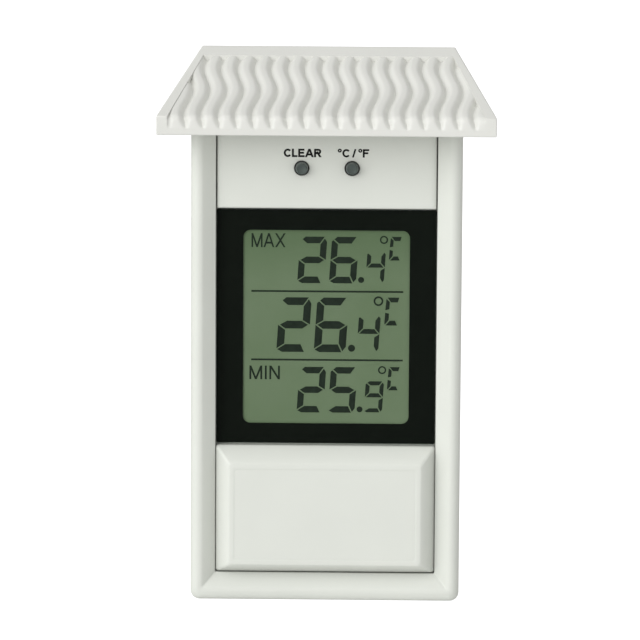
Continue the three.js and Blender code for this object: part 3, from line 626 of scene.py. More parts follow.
def cell_jacket():
    """Printed film shrunk over a cell: a dark body, a pale band and a bare steel end."""
    f = Finish("cell_jacket")
    across = f.node("ShaderNodeSeparateXYZ", Vector=f.place).outputs["X"]
    band_x = (CELL_LOW.x + 9) * MM
    end_x = (CELL_LOW.x + 1.4) * MM
    band = f.colours(across, (0.42, 0.44, 0.46), (0.02, 0.045, 0.11), band_x, band_x + 0.1 * MM)
    steel = f.colours(across, (0.55, 0.55, 0.53), band, end_x, end_x + 0.05 * MM)
    scuffed = f.colours(f.noise(3, 4), steel, (0.3, 0.32, 0.36), 0.62, 1.1)
    return f.surface(
        Base_Color=scuffed,
        Metallic=f.between(across, 1, 0, end_x, end_x + 0.05 * MM),
        Roughness=f.between(f.noise(1.2, 3), 0.24, 0.4),
        Coat_Weight=0.35,
        Coat_Roughness=0.15,
        Normal=f.bump(f.noise(2.2, 2, (0.3, 1, 1)), 0.012, 0.35),
    )


def circuit_board():
    """Green solder mask over copper tracks, which stand up a little and show paler."""
    f = Finish("circuit_board")
    steps = f.node("ShaderNodeTexVoronoi", Vector=f.place, Scale=1 / (3.2 * MM))
    steps.distance = "MANHATTAN"
    steps.feature = "DISTANCE_TO_EDGE"
    track = f.between(steps.outputs["Distance"], 1, 0, 0.05, 0.09)
    plain = f.colours(f.noise(6, 3), (0.010, 0.075, 0.030), (0.014, 0.095, 0.038))
    return f.surface(
        Base_Color=f.colours(track, plain, (0.035, 0.17, 0.06), 0, 1),
        Roughness=f.uneven(0.5, 0.28, 0.42),
        Normal=f.bump(track, 0.03, 0.6),
    )


def crystal_glass():
    """The display's glass sandwich, seen only from its edges: grey-green and clear."""
    f = Finish("crystal_glass")
    tone = f.colours(f.noise(5, 2), (0.30, 0.36, 0.29), (0.38, 0.44, 0.36))
    return f.surface(
        Base_Color=tone,
        Roughness=f.uneven(2, 0.05, 0.12),
        Coat_Weight=0.4,
        Normal=f.bump(f.noise(4, 1), 0.003, 0.2),
    )


IVORY = (0.766, 0.787, 0.728)
ROOF_IVORY = (0.787, 0.79, 0.745)
# height in millimetres below which the painted corner shade is left off the foot; it fades back in
# up to four times that
FOOT_UNSHADED = 1.4

FINISHES = {
    "case_plastic": moulded_plastic("case_plastic", IVORY, 0.42),
    # a fainter painted corner shade with a shorter reach on the roof
    "roof_plastic": moulded_plastic("roof_plastic", ROOF_IVORY, 0.44, 0.9, 1.2),
    "lens_acrylic": clear_lens(),
    "lens_print": black_print(),
    "display_film": display_film(),
    "display_glass": crystal_glass(),
    "reflector_film": component("reflector_film", (0.5, 0.54, 0.48), 0.3, 0.6),
    "inner_plastic": component("inner_plastic", (0.55, 0.55, 0.52), 0.5, lump=0.3),
    "key_rubber": silicone("key_rubber", (0.082, 0.102, 0.094)),
    "mat_rubber": silicone("mat_rubber", (0.24, 0.25, 0.24), 0.7),
    "carbon_pill": silicone("carbon_pill", (0.012, 0.012, 0.012), 0.8),
    "board_laminate": circuit_board(),
    "black_epoxy": component("black_epoxy", (0.012, 0.012, 0.013), 0.25, lump=1.2),
    "component_body": component("component_body", (0.03, 0.03, 0.03), 0.45),
    "bright_steel": plated_steel(),
    "cell_jacket": cell_jacket(),
    "red_jacket": wire_jacket("red_jacket", (0.45, 0.02, 0.012)),
    "black_jacket": wire_jacket("black_jacket", (0.012, 0.012, 0.012)),
}
SEGMENT_INK = ink("segment_ink", (0.016, 0.026, 0.017))
LABEL_INK = ink("label_ink", (0.006, 0.007, 0.006))


# ---- roof ---------------------------------------------------------------------------------

RIDGE_FRONT_Y = BACK_Y - RIDGE_DEPTH
ROOF_SLOPE = (RIDGE_Z - EAVE_RIM) / (RIDGE_FRONT_Y - EAVE_Y)
ROOF_ANGLE = math.atan(ROOF_SLOPE)
TILE_TOP_Y = RIDGE_FRONT_Y - RIDGE_BAND
TILE_BEND_Y = EAVE_Y + TILE_BEND * (1 - math.sin(ROOF_ANGLE))


def rim_height(y):
    return EAVE_RIM + (y - EAVE_Y) * ROOF_SLOPE


def tiled_field():
    """Everything over and ahead of the tiles, inside the flat rims and below the ridge band."""
    spread = (EAVE_HALF - RIDGE_HALF) / (RIDGE_FRONT_Y - EAVE_Y)
    top_half = RIDGE_HALF + RIDGE_BAND * spread - RIM_AT_RIDGE
    front_half = EAVE_HALF - RIM_AT_EAVE
    ahead_half = front_half + (front_half - top_half) * 4 / (TILE_TOP_Y - EAVE_Y)
    plan = [(top_half, TILE_TOP_Y), (front_half, EAVE_Y), (ahead_half, EAVE_Y - 4)]
    corners = [(x, y, z) for x, y in plan for z in (EAVE_BOTTOM - 5, RIDGE_Z + 5)]
    return hull("tiled_field", mirrored(corners))


def tile_stations():
    """The tiles' line over the roof, from the ridge band down the slope, round a bend and down
    the fascia: y and z on the outer planes and the outward direction."""
    bend_y = EAVE_Y + TILE_BEND
    bend_z = EAVE_RIM + TILE_BEND * (ROOF_SLOPE - 1 / math.cos(ROOF_ANGLE))
    stations = []
    tip_rows = 12
    slope_rows = 44
    bend_rows = 10
    drops = [TILE_TIP * (i / tip_rows) ** 2 for i in range(tip_rows)]
    length = TILE_TOP_Y - TILE_TIP - TILE_BEND_Y
    drops += [TILE_TIP + length * i / slope_rows for i in range(slope_rows + 1)]
    for drop in drops:
        y = TILE_TOP_Y - drop
        stations.append((y, rim_height(y), (-math.sin(ROOF_ANGLE), math.cos(ROOF_ANGLE))))
    for i in range(1, bend_rows + 1):
        angle = ROOF_ANGLE + (math.pi / 2 - ROOF_ANGLE) * i / bend_rows
        out = (-math.sin(angle), math.cos(angle))
        stations.append((bend_y + TILE_BEND * out[0], bend_z + TILE_BEND * out[1], out))
    for above in (1.3, 1, 0.75, 0.5, 0.35, 0.2, 0.1, 0.04, 0):
        stations.append((EAVE_Y, TILE_END + above, (-1, 0)))
    return stations


def tile_sink(across, from_tip, to_end):
    """How far the tiles lie inside the outer planes: across one tile from -1 to 1, by the
    distance from its tip and by the distance to its lower end. Crest and valley are both round,
    and the valleys narrow and run out into the fascia."""
    tip = min(from_tip / TILE_TIP, 1)
    reach = 1 - (1 - TILE_TIP_WIDTH) * (1 - math.sqrt(1 - (1 - tip) ** 2))
    share = min(abs(across) / reach, 1)
    end = min(to_end / TILE_FADE, 1)
    rounded_share = (1 - math.cos(math.pi * share ** (1.8 + 2.2 * (1 - end)))) / 2
    return max((TILE_TOP_SINK + TILE_DEPTH * rounded_share) * (1 - (1 - end) ** 2), 0.02)


def tile_cutter():
    """What is cut away above the tiles. Its columns follow the wave."""
    per_tile = 16
    thick = 4
    columns = []
    for tile in range(-11, 11):
        for i in range(per_tile):
            across = 2 * i / per_tile - 1
            columns.append((TILE_SHIFT + TILE_PITCH * (tile + across / 2), across))
    rings = []
    lean = math.radians(TILE_SWAY_LEAN)
    bend_along = TILE_BEND_Y * math.sin(lean) + rim_height(TILE_BEND_Y) * math.cos(lean)
    for y, z, out in tile_stations():
        along = y * math.sin(lean) + z * math.cos(lean)
        along += max(bend_along - along, 0) * (1 - TILE_SWAY_EASE)
        sway = TILE_SWAY * math.cos(2 * math.pi * (along - TILE_SWAY_RIGHT) / TILE_SWAY_LENGTH)
        over_eave = min(max((EAVE_RIM + 1 - z) / 1.5, 0), 1)
        low = []
        for x, across in columns:
            depth = tile_sink(across, TILE_TOP_Y - y, z - TILE_END)
            from_rim = min(max((EAVE_HALF - RIM_AT_EAVE - abs(x + sway)) / 1.2, 0), 1)
            depth *= 1 - over_eave * (1 - from_rim)
            low.append((x + sway, y - out[0] * depth, z - out[1] * depth))
        ends = [columns[-1][0] + sway, columns[0][0] + sway]
        high = [(x, y + out[0] * thick, z + out[1] * thick) for x in ends]
        rings.append(low + high)
    return combine(loft("tile_cutter", rings), [tiled_field()], "INTERSECT")


def roof_canopy():
    corners = [(EAVE_HALF, EAVE_Y, z) for z in (EAVE_BOTTOM, EAVE_RIM)]
    corners += [(EAVE_BACK_HALF, BACK_Y, z) for z in (EAVE_BOTTOM, EAVE_RIM)]
    corners += [(RIDGE_HALF, y, RIDGE_Z) for y in (RIDGE_FRONT_Y, BACK_Y)]
    outer = soften(hull("roof_canopy_moulding", mirrored(corners)), 0.3, 4, 12)
    front_y = EAVE_Y + WALL
    back_y = BACK_Y - WALL
    back_half = EAVE_BACK_HALF - WALL
    hip = (EAVE_BACK_HALF - RIDGE_HALF) / (RIDGE_Z - EAVE_RIM)
    side_z = EAVE_RIM - 2
    front_z = rim_height(front_y) - ROOF_DROP
    back_z = rim_height(back_y) - ROOF_DROP
    corners = [(EAVE_HALF - WALL, front_y, z) for z in (EAVE_BOTTOM - 2, front_z)]
    corners += [(back_half, back_y, z) for z in (EAVE_BOTTOM - 2, side_z)]
    corners.append((back_half - (back_z - side_z) * hip, back_y, back_z))
    ceiling = hull("ceiling", mirrored(corners))
    notch_half = BODY_HALF + GAP
    notch_z = (EAVE_BOTTOM - 5, BODY_TOP + GAP)
    notch = block("notch", (-notch_half, notch_half), (back_y - 3, BACK_Y + 1), notch_z)
    roof = cut(outer, ceiling, tile_cutter(), notch)
    boss_top = rim_height(ROOF_SCREW_Y) - ROOF_DROP + 1.6
    for x in (-ROOF_SCREW_X, ROOF_SCREW_X):
        foot = (x, ROOF_SCREW_Y, BODY_TOP + GAP)
        join(roof, rod("boss", 2.7, foot, (x, ROOF_SCREW_Y, boss_top)))
        below = (x, ROOF_SCREW_Y, BODY_TOP - 1)
        cut(roof, rod("hole", SCREW_HOLE, below, (x, ROOF_SCREW_Y, BODY_TOP + 4.6)))
    settle(roof, "roof_plastic", ["roof_canopy"], sharp=38)


# ---- front case ---------------------------------------------------------------------------


def body_ring(inset, y):
    """The body's outline drawn in, from 0 at the outside to 1 at the pocket."""
    half = BODY_HALF + (POCKET_HALF - BODY_HALF) * inset
    bottom = POCKET_BOTTOM * inset
    top = BODY_TOP + (POCKET_TOP - BODY_TOP) * inset
    radius = max(BODY_CORNER * (1 - 1.6 * inset), 0.3)
    return at_y(rounded((-half, half), (bottom, top), radius, 8), y)


def front_frame():
    shoulder_y = CREST_Y + CREST_RADIUS
    section = [(0, PARTING_Y)]
    for sine, cosine in quarter(12):
        section.append((0.34 * (1 - cosine), shoulder_y - CREST_RADIUS * sine))
    foot_y = FLOOR_FRONT_Y - 2.4
    section += [(0.40, CREST_Y + 0.03), (0.46, CREST_Y + 0.12), (0.51, CREST_Y + 0.28)]
    section += [(0.56, CREST_Y + 0.5), (0.985, foot_y - 0.1), (1, foot_y + 0.1)]
    section += [(1, FLOOR_BACK_Y), (0.62, FLOOR_BACK_Y), (0.62, -1.6), (0.31, -2.2)]
    section.append((0.31, PARTING_Y))
    case = loft("front_frame_moulding", [body_ring(inset, y) for inset, y in section], True)

    floor_half = POCKET_HALF + 1
    floor_z = (POCKET_BOTTOM - 1, POCKET_TOP + 1)
    floor = block("floor", (-floor_half, floor_half), (FLOOR_FRONT_Y, FLOOR_BACK_Y), floor_z)
    window = face_of(GLASS_LOW, GLASS_HIGH, 0.6, inset=-GAP)
    cut(floor, slab("window", window, FLOOR_FRONT_Y - 1, FLOOR_BACK_Y + 1))
    join(case, floor)
    for node in ("clear_key", "unit_key"):
        x, z = middle(node)
        before = (x, FLOOR_FRONT_Y - 1, z)
        cut(case, rod("key_hole", KEY_RADIUS + 1.2, before, (x, FLOOR_BACK_Y + 1, z)))
    for x, z in BOARD_SCREWS:
        join(case, rod("boss", 2.2, (x, FLOOR_BACK_Y - 0.5, z), (x, PARTING_Y + 0.1, z)))
        cut(case, rod("hole", 1.15, (x, FLOOR_BACK_Y + 0.2, z), (x, PARTING_Y + 2, z)))
    for x, z in CASE_SCREWS:
        join(case, rod("boss", 2.8, (x, FLOOR_BACK_Y - 0.5, z), (x, PARTING_Y, z)))
        cut(case, rod("hole", SCREW_HOLE, (x, FLOOR_BACK_Y, z), (x, PARTING_Y + 1, z)))
    for x in (-ROOF_SCREW_X, ROOF_SCREW_X):
        ends = [(x, ROOF_SCREW_Y, z) for z in (BODY_TOP - 4, BODY_TOP + 1)]
        cut(case, rod("hole", SCREW_HOLE, *ends))
    settle(case, "case_plastic", ["front_frame"], sharp=34)


def key_plate():
    """The plate round the keys: flat, with a slightly lower border at its sides and foot."""
    soft_y = PLATE_LOW.y + 0.35
    section = [(0, 0, PLATE_HIGH.y), (0, 0, soft_y + 0.08), (0.08, 0.06, soft_y)]
    section.append((PLATE_BORDER, PLATE_LIP, PLATE_LOW.y))
    rings = []
    for side, end, y in section:
        half = PLATE_HIGH.x - side
        up = (PLATE_LOW.z + end, PLATE_HIGH.z - end)
        rings.append(at_y(rounded((-half, half), up, 0.3, 4), y))
    plate = loft("key_plate_moulding", rings)
    steps = [(0.5, -0.2), (0.34, 0), (0.24, 0.07), (0.2, 0.2)]
    profile = [(KEY_RADIUS + out, PLATE_LOW.y + y) for out, y in steps]
    profile.append((KEY_RADIUS + 0.2, PLATE_HIGH.y + 1))
    for node in ("clear_key", "unit_key"):
        cut(plate, turned("key_hole", profile, middle(node)))
    settle(plate, "case_plastic", ["key_plate"], sharp=50)


def lower_panel():
    """The blank raised panel: wide soft bevels round a flat face that is set in by a hair."""

    def bevelled(inset, y, margin=0):
        out = PANEL_SNUG * (1 - inset)
        across = PANEL_HIGH.x + out - PANEL_BEVEL_SIDE * inset - margin
        bottom = PANEL_LOW.z - out + PANEL_BEVEL_BOTTOM * inset + margin
        top = PANEL_HIGH.z - PANEL_BEVEL_TOP * inset - margin
        return at_y(rounded((-across, across), (bottom, top), PANEL_CORNER, 6), y)

    face_y = PANEL_LOW.y
    rise = PANEL_SKIRT_Y - face_y
    rings = [bevelled(0, PANEL_HIGH.y), bevelled(0, PANEL_SKIRT_Y + 0.15)]
    rings.append(bevelled(0.02, PANEL_SKIRT_Y))
    for i in range(1, 14):
        share = i / 14
        height = 1 - (1 - share) ** PANEL_BULGE
        rings.append(bevelled(share, PANEL_SKIRT_Y - rise * height))
    for margin, deep in ((0, 0), (0.9, 0), (1.02, 0.03), (1.15, 0.1)):
        rings.append(bevelled(1, face_y + deep, margin))
    panel = loft("lower_panel_moulding", rings)
    hollow_x = (PANEL_LOW.x + 4.6, PANEL_HIGH.x - 4.6)
    hollow_z = (PANEL_LOW.z + 3.8, PANEL_HIGH.z - 5.6)
    cut(panel, block("hollow", hollow_x, (face_y + WALL, 1), hollow_z))
    settle(panel, "case_plastic", ["lower_panel"], sharp=50)


# ---- display ------------------------------------------------------------------------------


def display():
    outline = face_of(LENS_LOW, LENS_HIGH, LENS_CORNER, 6)
    rings = [at_y(outline, LENS_HIGH.y)]
    for sine, cosine in quarter(4):
        inner = face_of(LENS_LOW, LENS_HIGH, LENS_CORNER, 6, LENS_SOFT * (1 - cosine))
        rings.append(at_y(inner, LENS_LOW.y + LENS_SOFT * (1 - sine)))
    lens = loft("display_lens_sheet", rings)
    settle(lens, "lens_acrylic", ["display_lens"], sharp=60)

    mask = slab("lens_mask_print", outline, MASK_LOW.y, MASK_HIGH.y)
    opening = rounded((-WINDOW_HALF, WINDOW_HALF), (WINDOW_BOTTOM, WINDOW_TOP), WINDOW_CORNER, 12)
    cut(mask, slab("window", opening, MASK_LOW.y - 1, MASK_HIGH.y + 1))
    settle(mask, "lens_print", ["lens_mask"])

    outline = face_of(FILM_LOW, FILM_HIGH, 0.5)
    film = slab("lcd_front_film", outline, FILM_LOW.y, FILM_HIGH.y)
    soften(film, 0.03, 2)
    settle(film, "display_film", ["lcd_front_polarizer"])


SEGMENTS_ON = {"2": "abged", "4": "fgbc", "5": "afgcd", "6": "afgedc", "9": "abcdfg"}
SLANT = 0.065


def clipped(polygon, start, end, gap):
    """Keeps what lies to the left of a line, less half a gap."""
    start, end = Vector(start), Vector(end)
    along = (end - start).normalized()
    out = Vector((-along.y, along.x))

    def side(point):
        return (Vector(point) - start).dot(out) - gap / 2

    kept = []
    for i, point in enumerate(polygon):
        before = polygon[i - 1]
        a, b = side(before), side(point)
        if (a < 0) != (b < 0):
            kept.append(tuple(Vector(before).lerp(Vector(point), a / (a - b))))
        if b >= 0:
            kept.append(tuple(point))
    return kept


def segment(letter, w, h, tv, th, gap, knee, middle):
    """One of a digit's seven segments, as an outline in the digit's own upright square."""
    k = middle + knee * th
    low_knee = min(middle - th / 2, k - 0.6 * th)
    high_knee = middle + th / 2
    rectangles = {
        "a": (0, h - th, w, h),
        "b": (w - tv, k, w, h),
        "c": (w - tv, 0, w, k),
        "d": (0, 0, w, th),
        "e": (0, 0, tv, k),
        "f": (0, k, tv, h),
        "g": (0, middle - th / 2, w, middle + th / 2),
    }
    top_left = ((0, h - 0.2 * th), (tv, h - th))
    top_right = ((w - 0.3 * tv, h), (w - tv, h - th))
    foot_right = ((w - 0.45 * tv, 0), (w - tv, th))
    foot_left = ((0, 0.36 * th), (tv, th))
    left_up = ((0.1 * tv, k), (tv, high_knee))
    left_down = ((0.1 * tv, k), (tv, low_knee))
    right_up = ((w - 0.1 * tv, k), (w - tv, high_knee))
    right_down = ((w - 0.1 * tv, k), (w - tv, low_knee))
    flip = lambda line: (line[1], line[0])
    cuts = {
        "a": [top_left, flip(top_right)],
        "b": [top_right, flip(right_up)],
        "c": [right_down, flip(foot_right)],
        "d": [foot_right, flip(foot_left)],
        "e": [foot_left, flip(left_down)],
        "f": [left_up, flip(top_left)],
        "g": [flip(left_up), right_up],
    }
    if k > middle - th / 2:
        cuts["g"] += [left_down, flip(right_down)]
    corners = {
        "a": ((0.86 * tv, h), (0, h - 0.72 * th)),
        "b": ((w, h - 0.77 * th), (w - 0.28 * tv, h - 0.4 * th)),
        "c": ((w - 0.4 * tv, 0.17 * th), (w, 0.7 * th)),
        "d": ((0, 0.38 * th), (0.77 * tv, 0)),
    }
    corners["f"] = corners["a"]
    x0, z0, x1, z1 = rectangles[letter]
    outline = [(x0, z0), (x1, z0), (x1, z1), (x0, z1)]
    for line in cuts[letter]:
        outline = clipped(outline, *line, gap)
    if letter in corners:
        outline = clipped(outline, *corners[letter], 0)
    return outline


def leaning(outline, x, z):
    return [(x + px + SLANT * pz, z + pz) for px, pz in outline]


def digit(character, x, z, w, h, stroke, gap=0.3, knee=0.0, middle=0.5):
    """The lit segments of one character, leaning to the right."""
    outlines = []
    for letter in SEGMENTS_ON[character]:
        upright = segment(letter, w, h, stroke[0], stroke[1], gap, knee, middle * h)
        outlines.append(leaning(upright, x, z))
    return outlines


def unit_sign(x, z, w, h, tv, th, gap=0.3):
    """The C after the degree sign: a bar over and a bar under an upright in two halves."""
    half = h / 2
    slope = 0.25 * tv
    top = [(0.35 * tv, h), (tv + gap, h - th), (w - 0.3 * tv, h - th), (w, h)]
    foot = [(0.35 * tv, 0), (w - 0.1 * tv, 0), (w - 0.7 * tv, th), (tv + gap, th)]
    upper = [(0, half + gap), (tv, half + gap + slope), (tv, h - th + 0.1)]
    upper.append((0.1 * tv, h - 0.3 * th))
    lower = [(0, 0.35 * th), (0.15 * tv, 0.2 * th), (tv, th + 0.1), (tv, half - gap - slope)]
    lower.append((0, half - gap))
    return [leaning(part, x, z) for part in (top, foot, upper, lower)]


def reading(row, scale, x, z, tens, units, tenths):
    """One temperature: two tall digits, a point, a small digit and the degree sign with its C."""
    outlines = []

    def sized(*lengths):
        return [length * scale for length in lengths]

    w, h, next_x, point_x, small_x, ring_x, sign_x = sized(6.45, 11.2, 7.6, 15.3, 16.3, 20.7, 21.9)
    for character, start_x in ((tens, x), (units, x + next_x)):
        outlines += digit(character, start_x, z, w, h, sized(1.5, 1.58))
    small_w, small_h, sign_z, ring_z, point_z = sized(4.4, 7.62, 5.6, 10.55, 0.85)
    small = (small_w, small_h, sized(0.98, 0.98))
    outlines += digit(tenths, x + small_x, z + 0.15, *small, 0.26, -0.5, 0.55)
    outlines += unit_sign(x + sign_x, z + sign_z, *sized(2.65, 5.7, 0.8, 0.98))
    outlines.append(circle(x + point_x, z + point_z, *sized(0.72)))
    ring_x, ring_z = x + ring_x, z + ring_z
    pieces = [slab(f"{row}_part", outline, INK_FRONT, INK_BACK) for outline in outlines]
    outer, inner = [circle(ring_x, ring_z, radius) for radius in sized(0.98, 0.64)]
    ring = slab(f"{row}_ring", outer, INK_FRONT, INK_BACK)
    hole = slab("hole", inner, INK_FRONT - 1, INK_BACK + 1)
    pieces.append(cut(ring, hole))
    return pieces


def merged(name, pieces):
    """Several shapes that don't touch, as one mesh."""
    points = []
    faces = []
    for piece in pieces:
        start = len(points)
        points += [tuple(v.co) for v in piece.data.vertices]
        faces += [tuple(start + i for i in face.vertices) for face in piece.data.polygons]
        bpy.data.objects.remove(piece)
    return shape(name, points, faces)


INK_THICK = 0.035
INK_BACK = FILM_LOW.y - 0.004
INK_FRONT = INK_BACK - INK_THICK
DIVIDER_X = (-17.95, 18.4)
DIVIDER_Z = (74.7, 58.1)
DIVIDER_HALF = 0.21
LABEL_Z = (107.25, 109.25)
LABEL_LIFT = 0.012
LABEL_THICK = 0.03


def bar(start, end, weight):
    """A straight stroke, cut off level at the top and the foot of a letter one unit high."""
    start, end = Vector(start), Vector(end)
    along = (end - start).normalized()
    across = Vector((-along.y, along.x)) * weight / 2
    over = along * weight if abs(along.y) > 0.5 and abs(along.x) > 0.05 else Vector((0, 0))
    start, end = start - over, end + over
    corners = (start - across, end - across, end + across, start + across)
    outline = clipped([tuple(p) for p in corners], (0, 0), (1, 0), 0)
    return clipped(outline, (1, 1), (0, 1), 0)


def curl(centre, reach, weight, start, end, steps=28):
    """Part of an oval stroke, between two angles in degrees."""
    outline = []
    for side, order in ((1, 1), (-1, -1)):
        run = []
        for i in range(steps + 1):
            angle = math.radians(start + (end - start) * i / steps)
            rx, rz = reach[0] + side * weight / 2, reach[1] + side * weight / 2
            run.append((centre[0] + rx * math.cos(angle), centre[1] + rz * math.sin(angle)))
        outline += run[::order]
    return outline


def letter(character, w):
    """One plain capital in a square one unit high: its strokes, and how wide it is."""
    h = w / 2
    top, middle = 1 - h, 0.52
    stem = bar((h, 0), (h, 1), w)

    def bars(*ends):
        return [bar(ends[i], ends[i + 1], w) for i in range(0, len(ends), 2)]

    roof = ((h, top), (0.72, top))
    bowl_middle = (top + 0.47) / 2
    bowl = curl((0.5, bowl_middle), (top - bowl_middle,) * 2, w, -90, 90)
    right_m, right_n = 0.95 - h, 0.78 - h
    shapes = {
        "A": (bars((0.07, 0), (0.46, 1), (0.85, 0), (0.46, 1), (0.2, 0.32), (0.72, 0.32)), 0.92),
        "C": ([curl((0.46, 0.5), (0.46 - h, 0.5 - h), w, 38, 322)], 0.86),
        "E": ([stem] + bars(*roof, (h, middle), (0.68, middle), (h, h), (0.75, h)), 0.75),
        "F": ([stem] + bars(*roof, (h, middle), (0.62, middle)), 0.72),
        "I": ([stem], w),
        "L": ([stem] + bars((h, h), (0.64, h)), 0.64),
        "M": (
            [stem] + bars((right_m, 0), (right_m, 1), (h, 1), (0.475, 0.02))
            + bars((right_m, 1), (0.475, 0.02)), 0.95,
        ),
        "N": ([stem] + bars((right_n, 0), (right_n, 1), (h, 1), (right_n, 0)), 0.78),
        "R": (
            [stem] + bars((h, top), (0.5, top), (h, 0.47), (0.52, 0.47))
            + [bowl] + bars((0.45, 0.47), (0.74, 0)), 0.82,
        ),
        "X": (bars((0.07, 0), (0.81, 1), (0.81, 0), (0.07, 1)), 0.88),
        "/": ([bar((0.05, 0), (0.33, 1), w * 0.9)], 0.38),
        "°": ([curl((0.2, 0.81), (0.15, 0.15), w * 0.75, 0, 359.9)], 0.4),
        " ": ([], 0.12),
    }
    return shapes[character]


def lettering(text, left, right, low, high, front, thick, weight, gap=0.13):
    """Plain capitals built from strokes, fitted between limits."""
    height = high - low
    letters = [letter(character, weight / height) for character in text]
    natural = sum(wide for _, wide in letters) + gap * (len(letters) - 1)
    stretch = (right - left) / natural
    pieces = []
    x = left
    for outlines, wide in letters:
        strokes = []
        for outline in outlines:
            placed = [(x + px * stretch, low + pz * height) for px, pz in outline]
            strokes.append(slab("stroke", placed, front, front + thick))
        if strokes:
            pieces.append(join(strokes[0], *strokes[1:]))
        x += (wide + gap) * stretch
    return pieces


def readings():
    rows = {
        "maximum": reading("maximum", 1.0, -7.02, 76.7, "2", "6", "4"),
        "current": reading("current", 1.18, -11.95, 60.0, "2", "6", "4"),
        "minimum": reading("minimum", 0.99, -7.02, 45.3, "2", "5", "9"),
    }
    depth = (INK_FRONT, INK_THICK)
    rows["maximum"] += lettering("MAX", -17.95, -9.85, 85.3, 88.65, *depth, 0.45, 0.09)
    rows["minimum"] += lettering("MIN", -18.35, -11.05, 53.3, 56.6, *depth, 0.45, 0.2)
    for row, pieces in rows.items():
        obj = merged(f"{row}_reading_segments", pieces)
        settle(obj, "lens_print", material=SEGMENT_INK)
    lines = []
    for z in DIVIDER_Z:
        up = (z - DIVIDER_HALF, z + DIVIDER_HALF)
        lines.append(block("line", DIVIDER_X, (INK_FRONT, INK_BACK), up))
    settle(merged("divider_segments", lines), "lens_print", material=SEGMENT_INK)


def key_labels():
    limits = (*LABEL_Z, PLATE_LOW.y - LABEL_LIFT, LABEL_THICK)
    clear = lettering("CLEAR", -10.3, -1.4, *limits, 0.46, 0.08)
    unit = lettering("°C / °F", 2.6, 10.0, *limits, 0.44, 0.09)
    for name, pieces in (("clear_label", clear), ("unit_label", unit)):
        settle(merged(name, pieces), "lens_print", material=LABEL_INK)


# ---- keys ---------------------------------------------------------------------------------


def key(node, body):
    low, high = box(node)
    tip = low.y
    flange = (high.x - low.x) / 2
    profile = [(0.05, tip + 0.26), (0.5, tip + 0.22), (0.85, tip + 0.13), (1.1, tip + 0.02)]
    for sine, cosine in quarter(6):
        reach = KEY_CROWN - KEY_ROUND + KEY_ROUND * sine
        profile.append((reach, tip + KEY_ROUND * (1 - cosine)))
    profile += [(KEY_RADIUS, PLATE_LOW.y + 0.4), (KEY_RADIUS, FLOOR_FRONT_Y + 0.1)]
    profile += [(flange, FLOOR_FRONT_Y + 0.15), (flange, high.y - 0.1), (flange - 0.1, high.y)]
    cap = turned(f"{node}_cap", profile, middle(node))
    settle(cap, "key_rubber", [node], body)


# ---- rear case ----------------------------------------------------------------------------


def slots(across, bottom, height, pitch, count, corner, depth):
    """Round-ended slots above each other, to cut into the back."""
    pieces = []
    for i in range(count):
        low = bottom + pitch * i
        outline = rounded(across, (low, low + height), corner, 6)
        pieces.append(slab("slot", outline, BACK_Y - depth, BACK_Y + 1))
    return pieces


def keyhole():
    opening = math.degrees(math.asin(KEYHOLE_SLOT / KEYHOLE_RADIUS))
    neck_z = KEYHOLE_Z + KEYHOLE_RISE
    outline = arc(0, KEYHOLE_Z, KEYHOLE_RADIUS, 90 + opening, 450 - opening, 40)
    outline += arc(0, neck_z, KEYHOLE_SLOT, 0, 180, 20)
    return slab("keyhole", outline, BACK_Y - 2 * WALL, BACK_Y + 1)


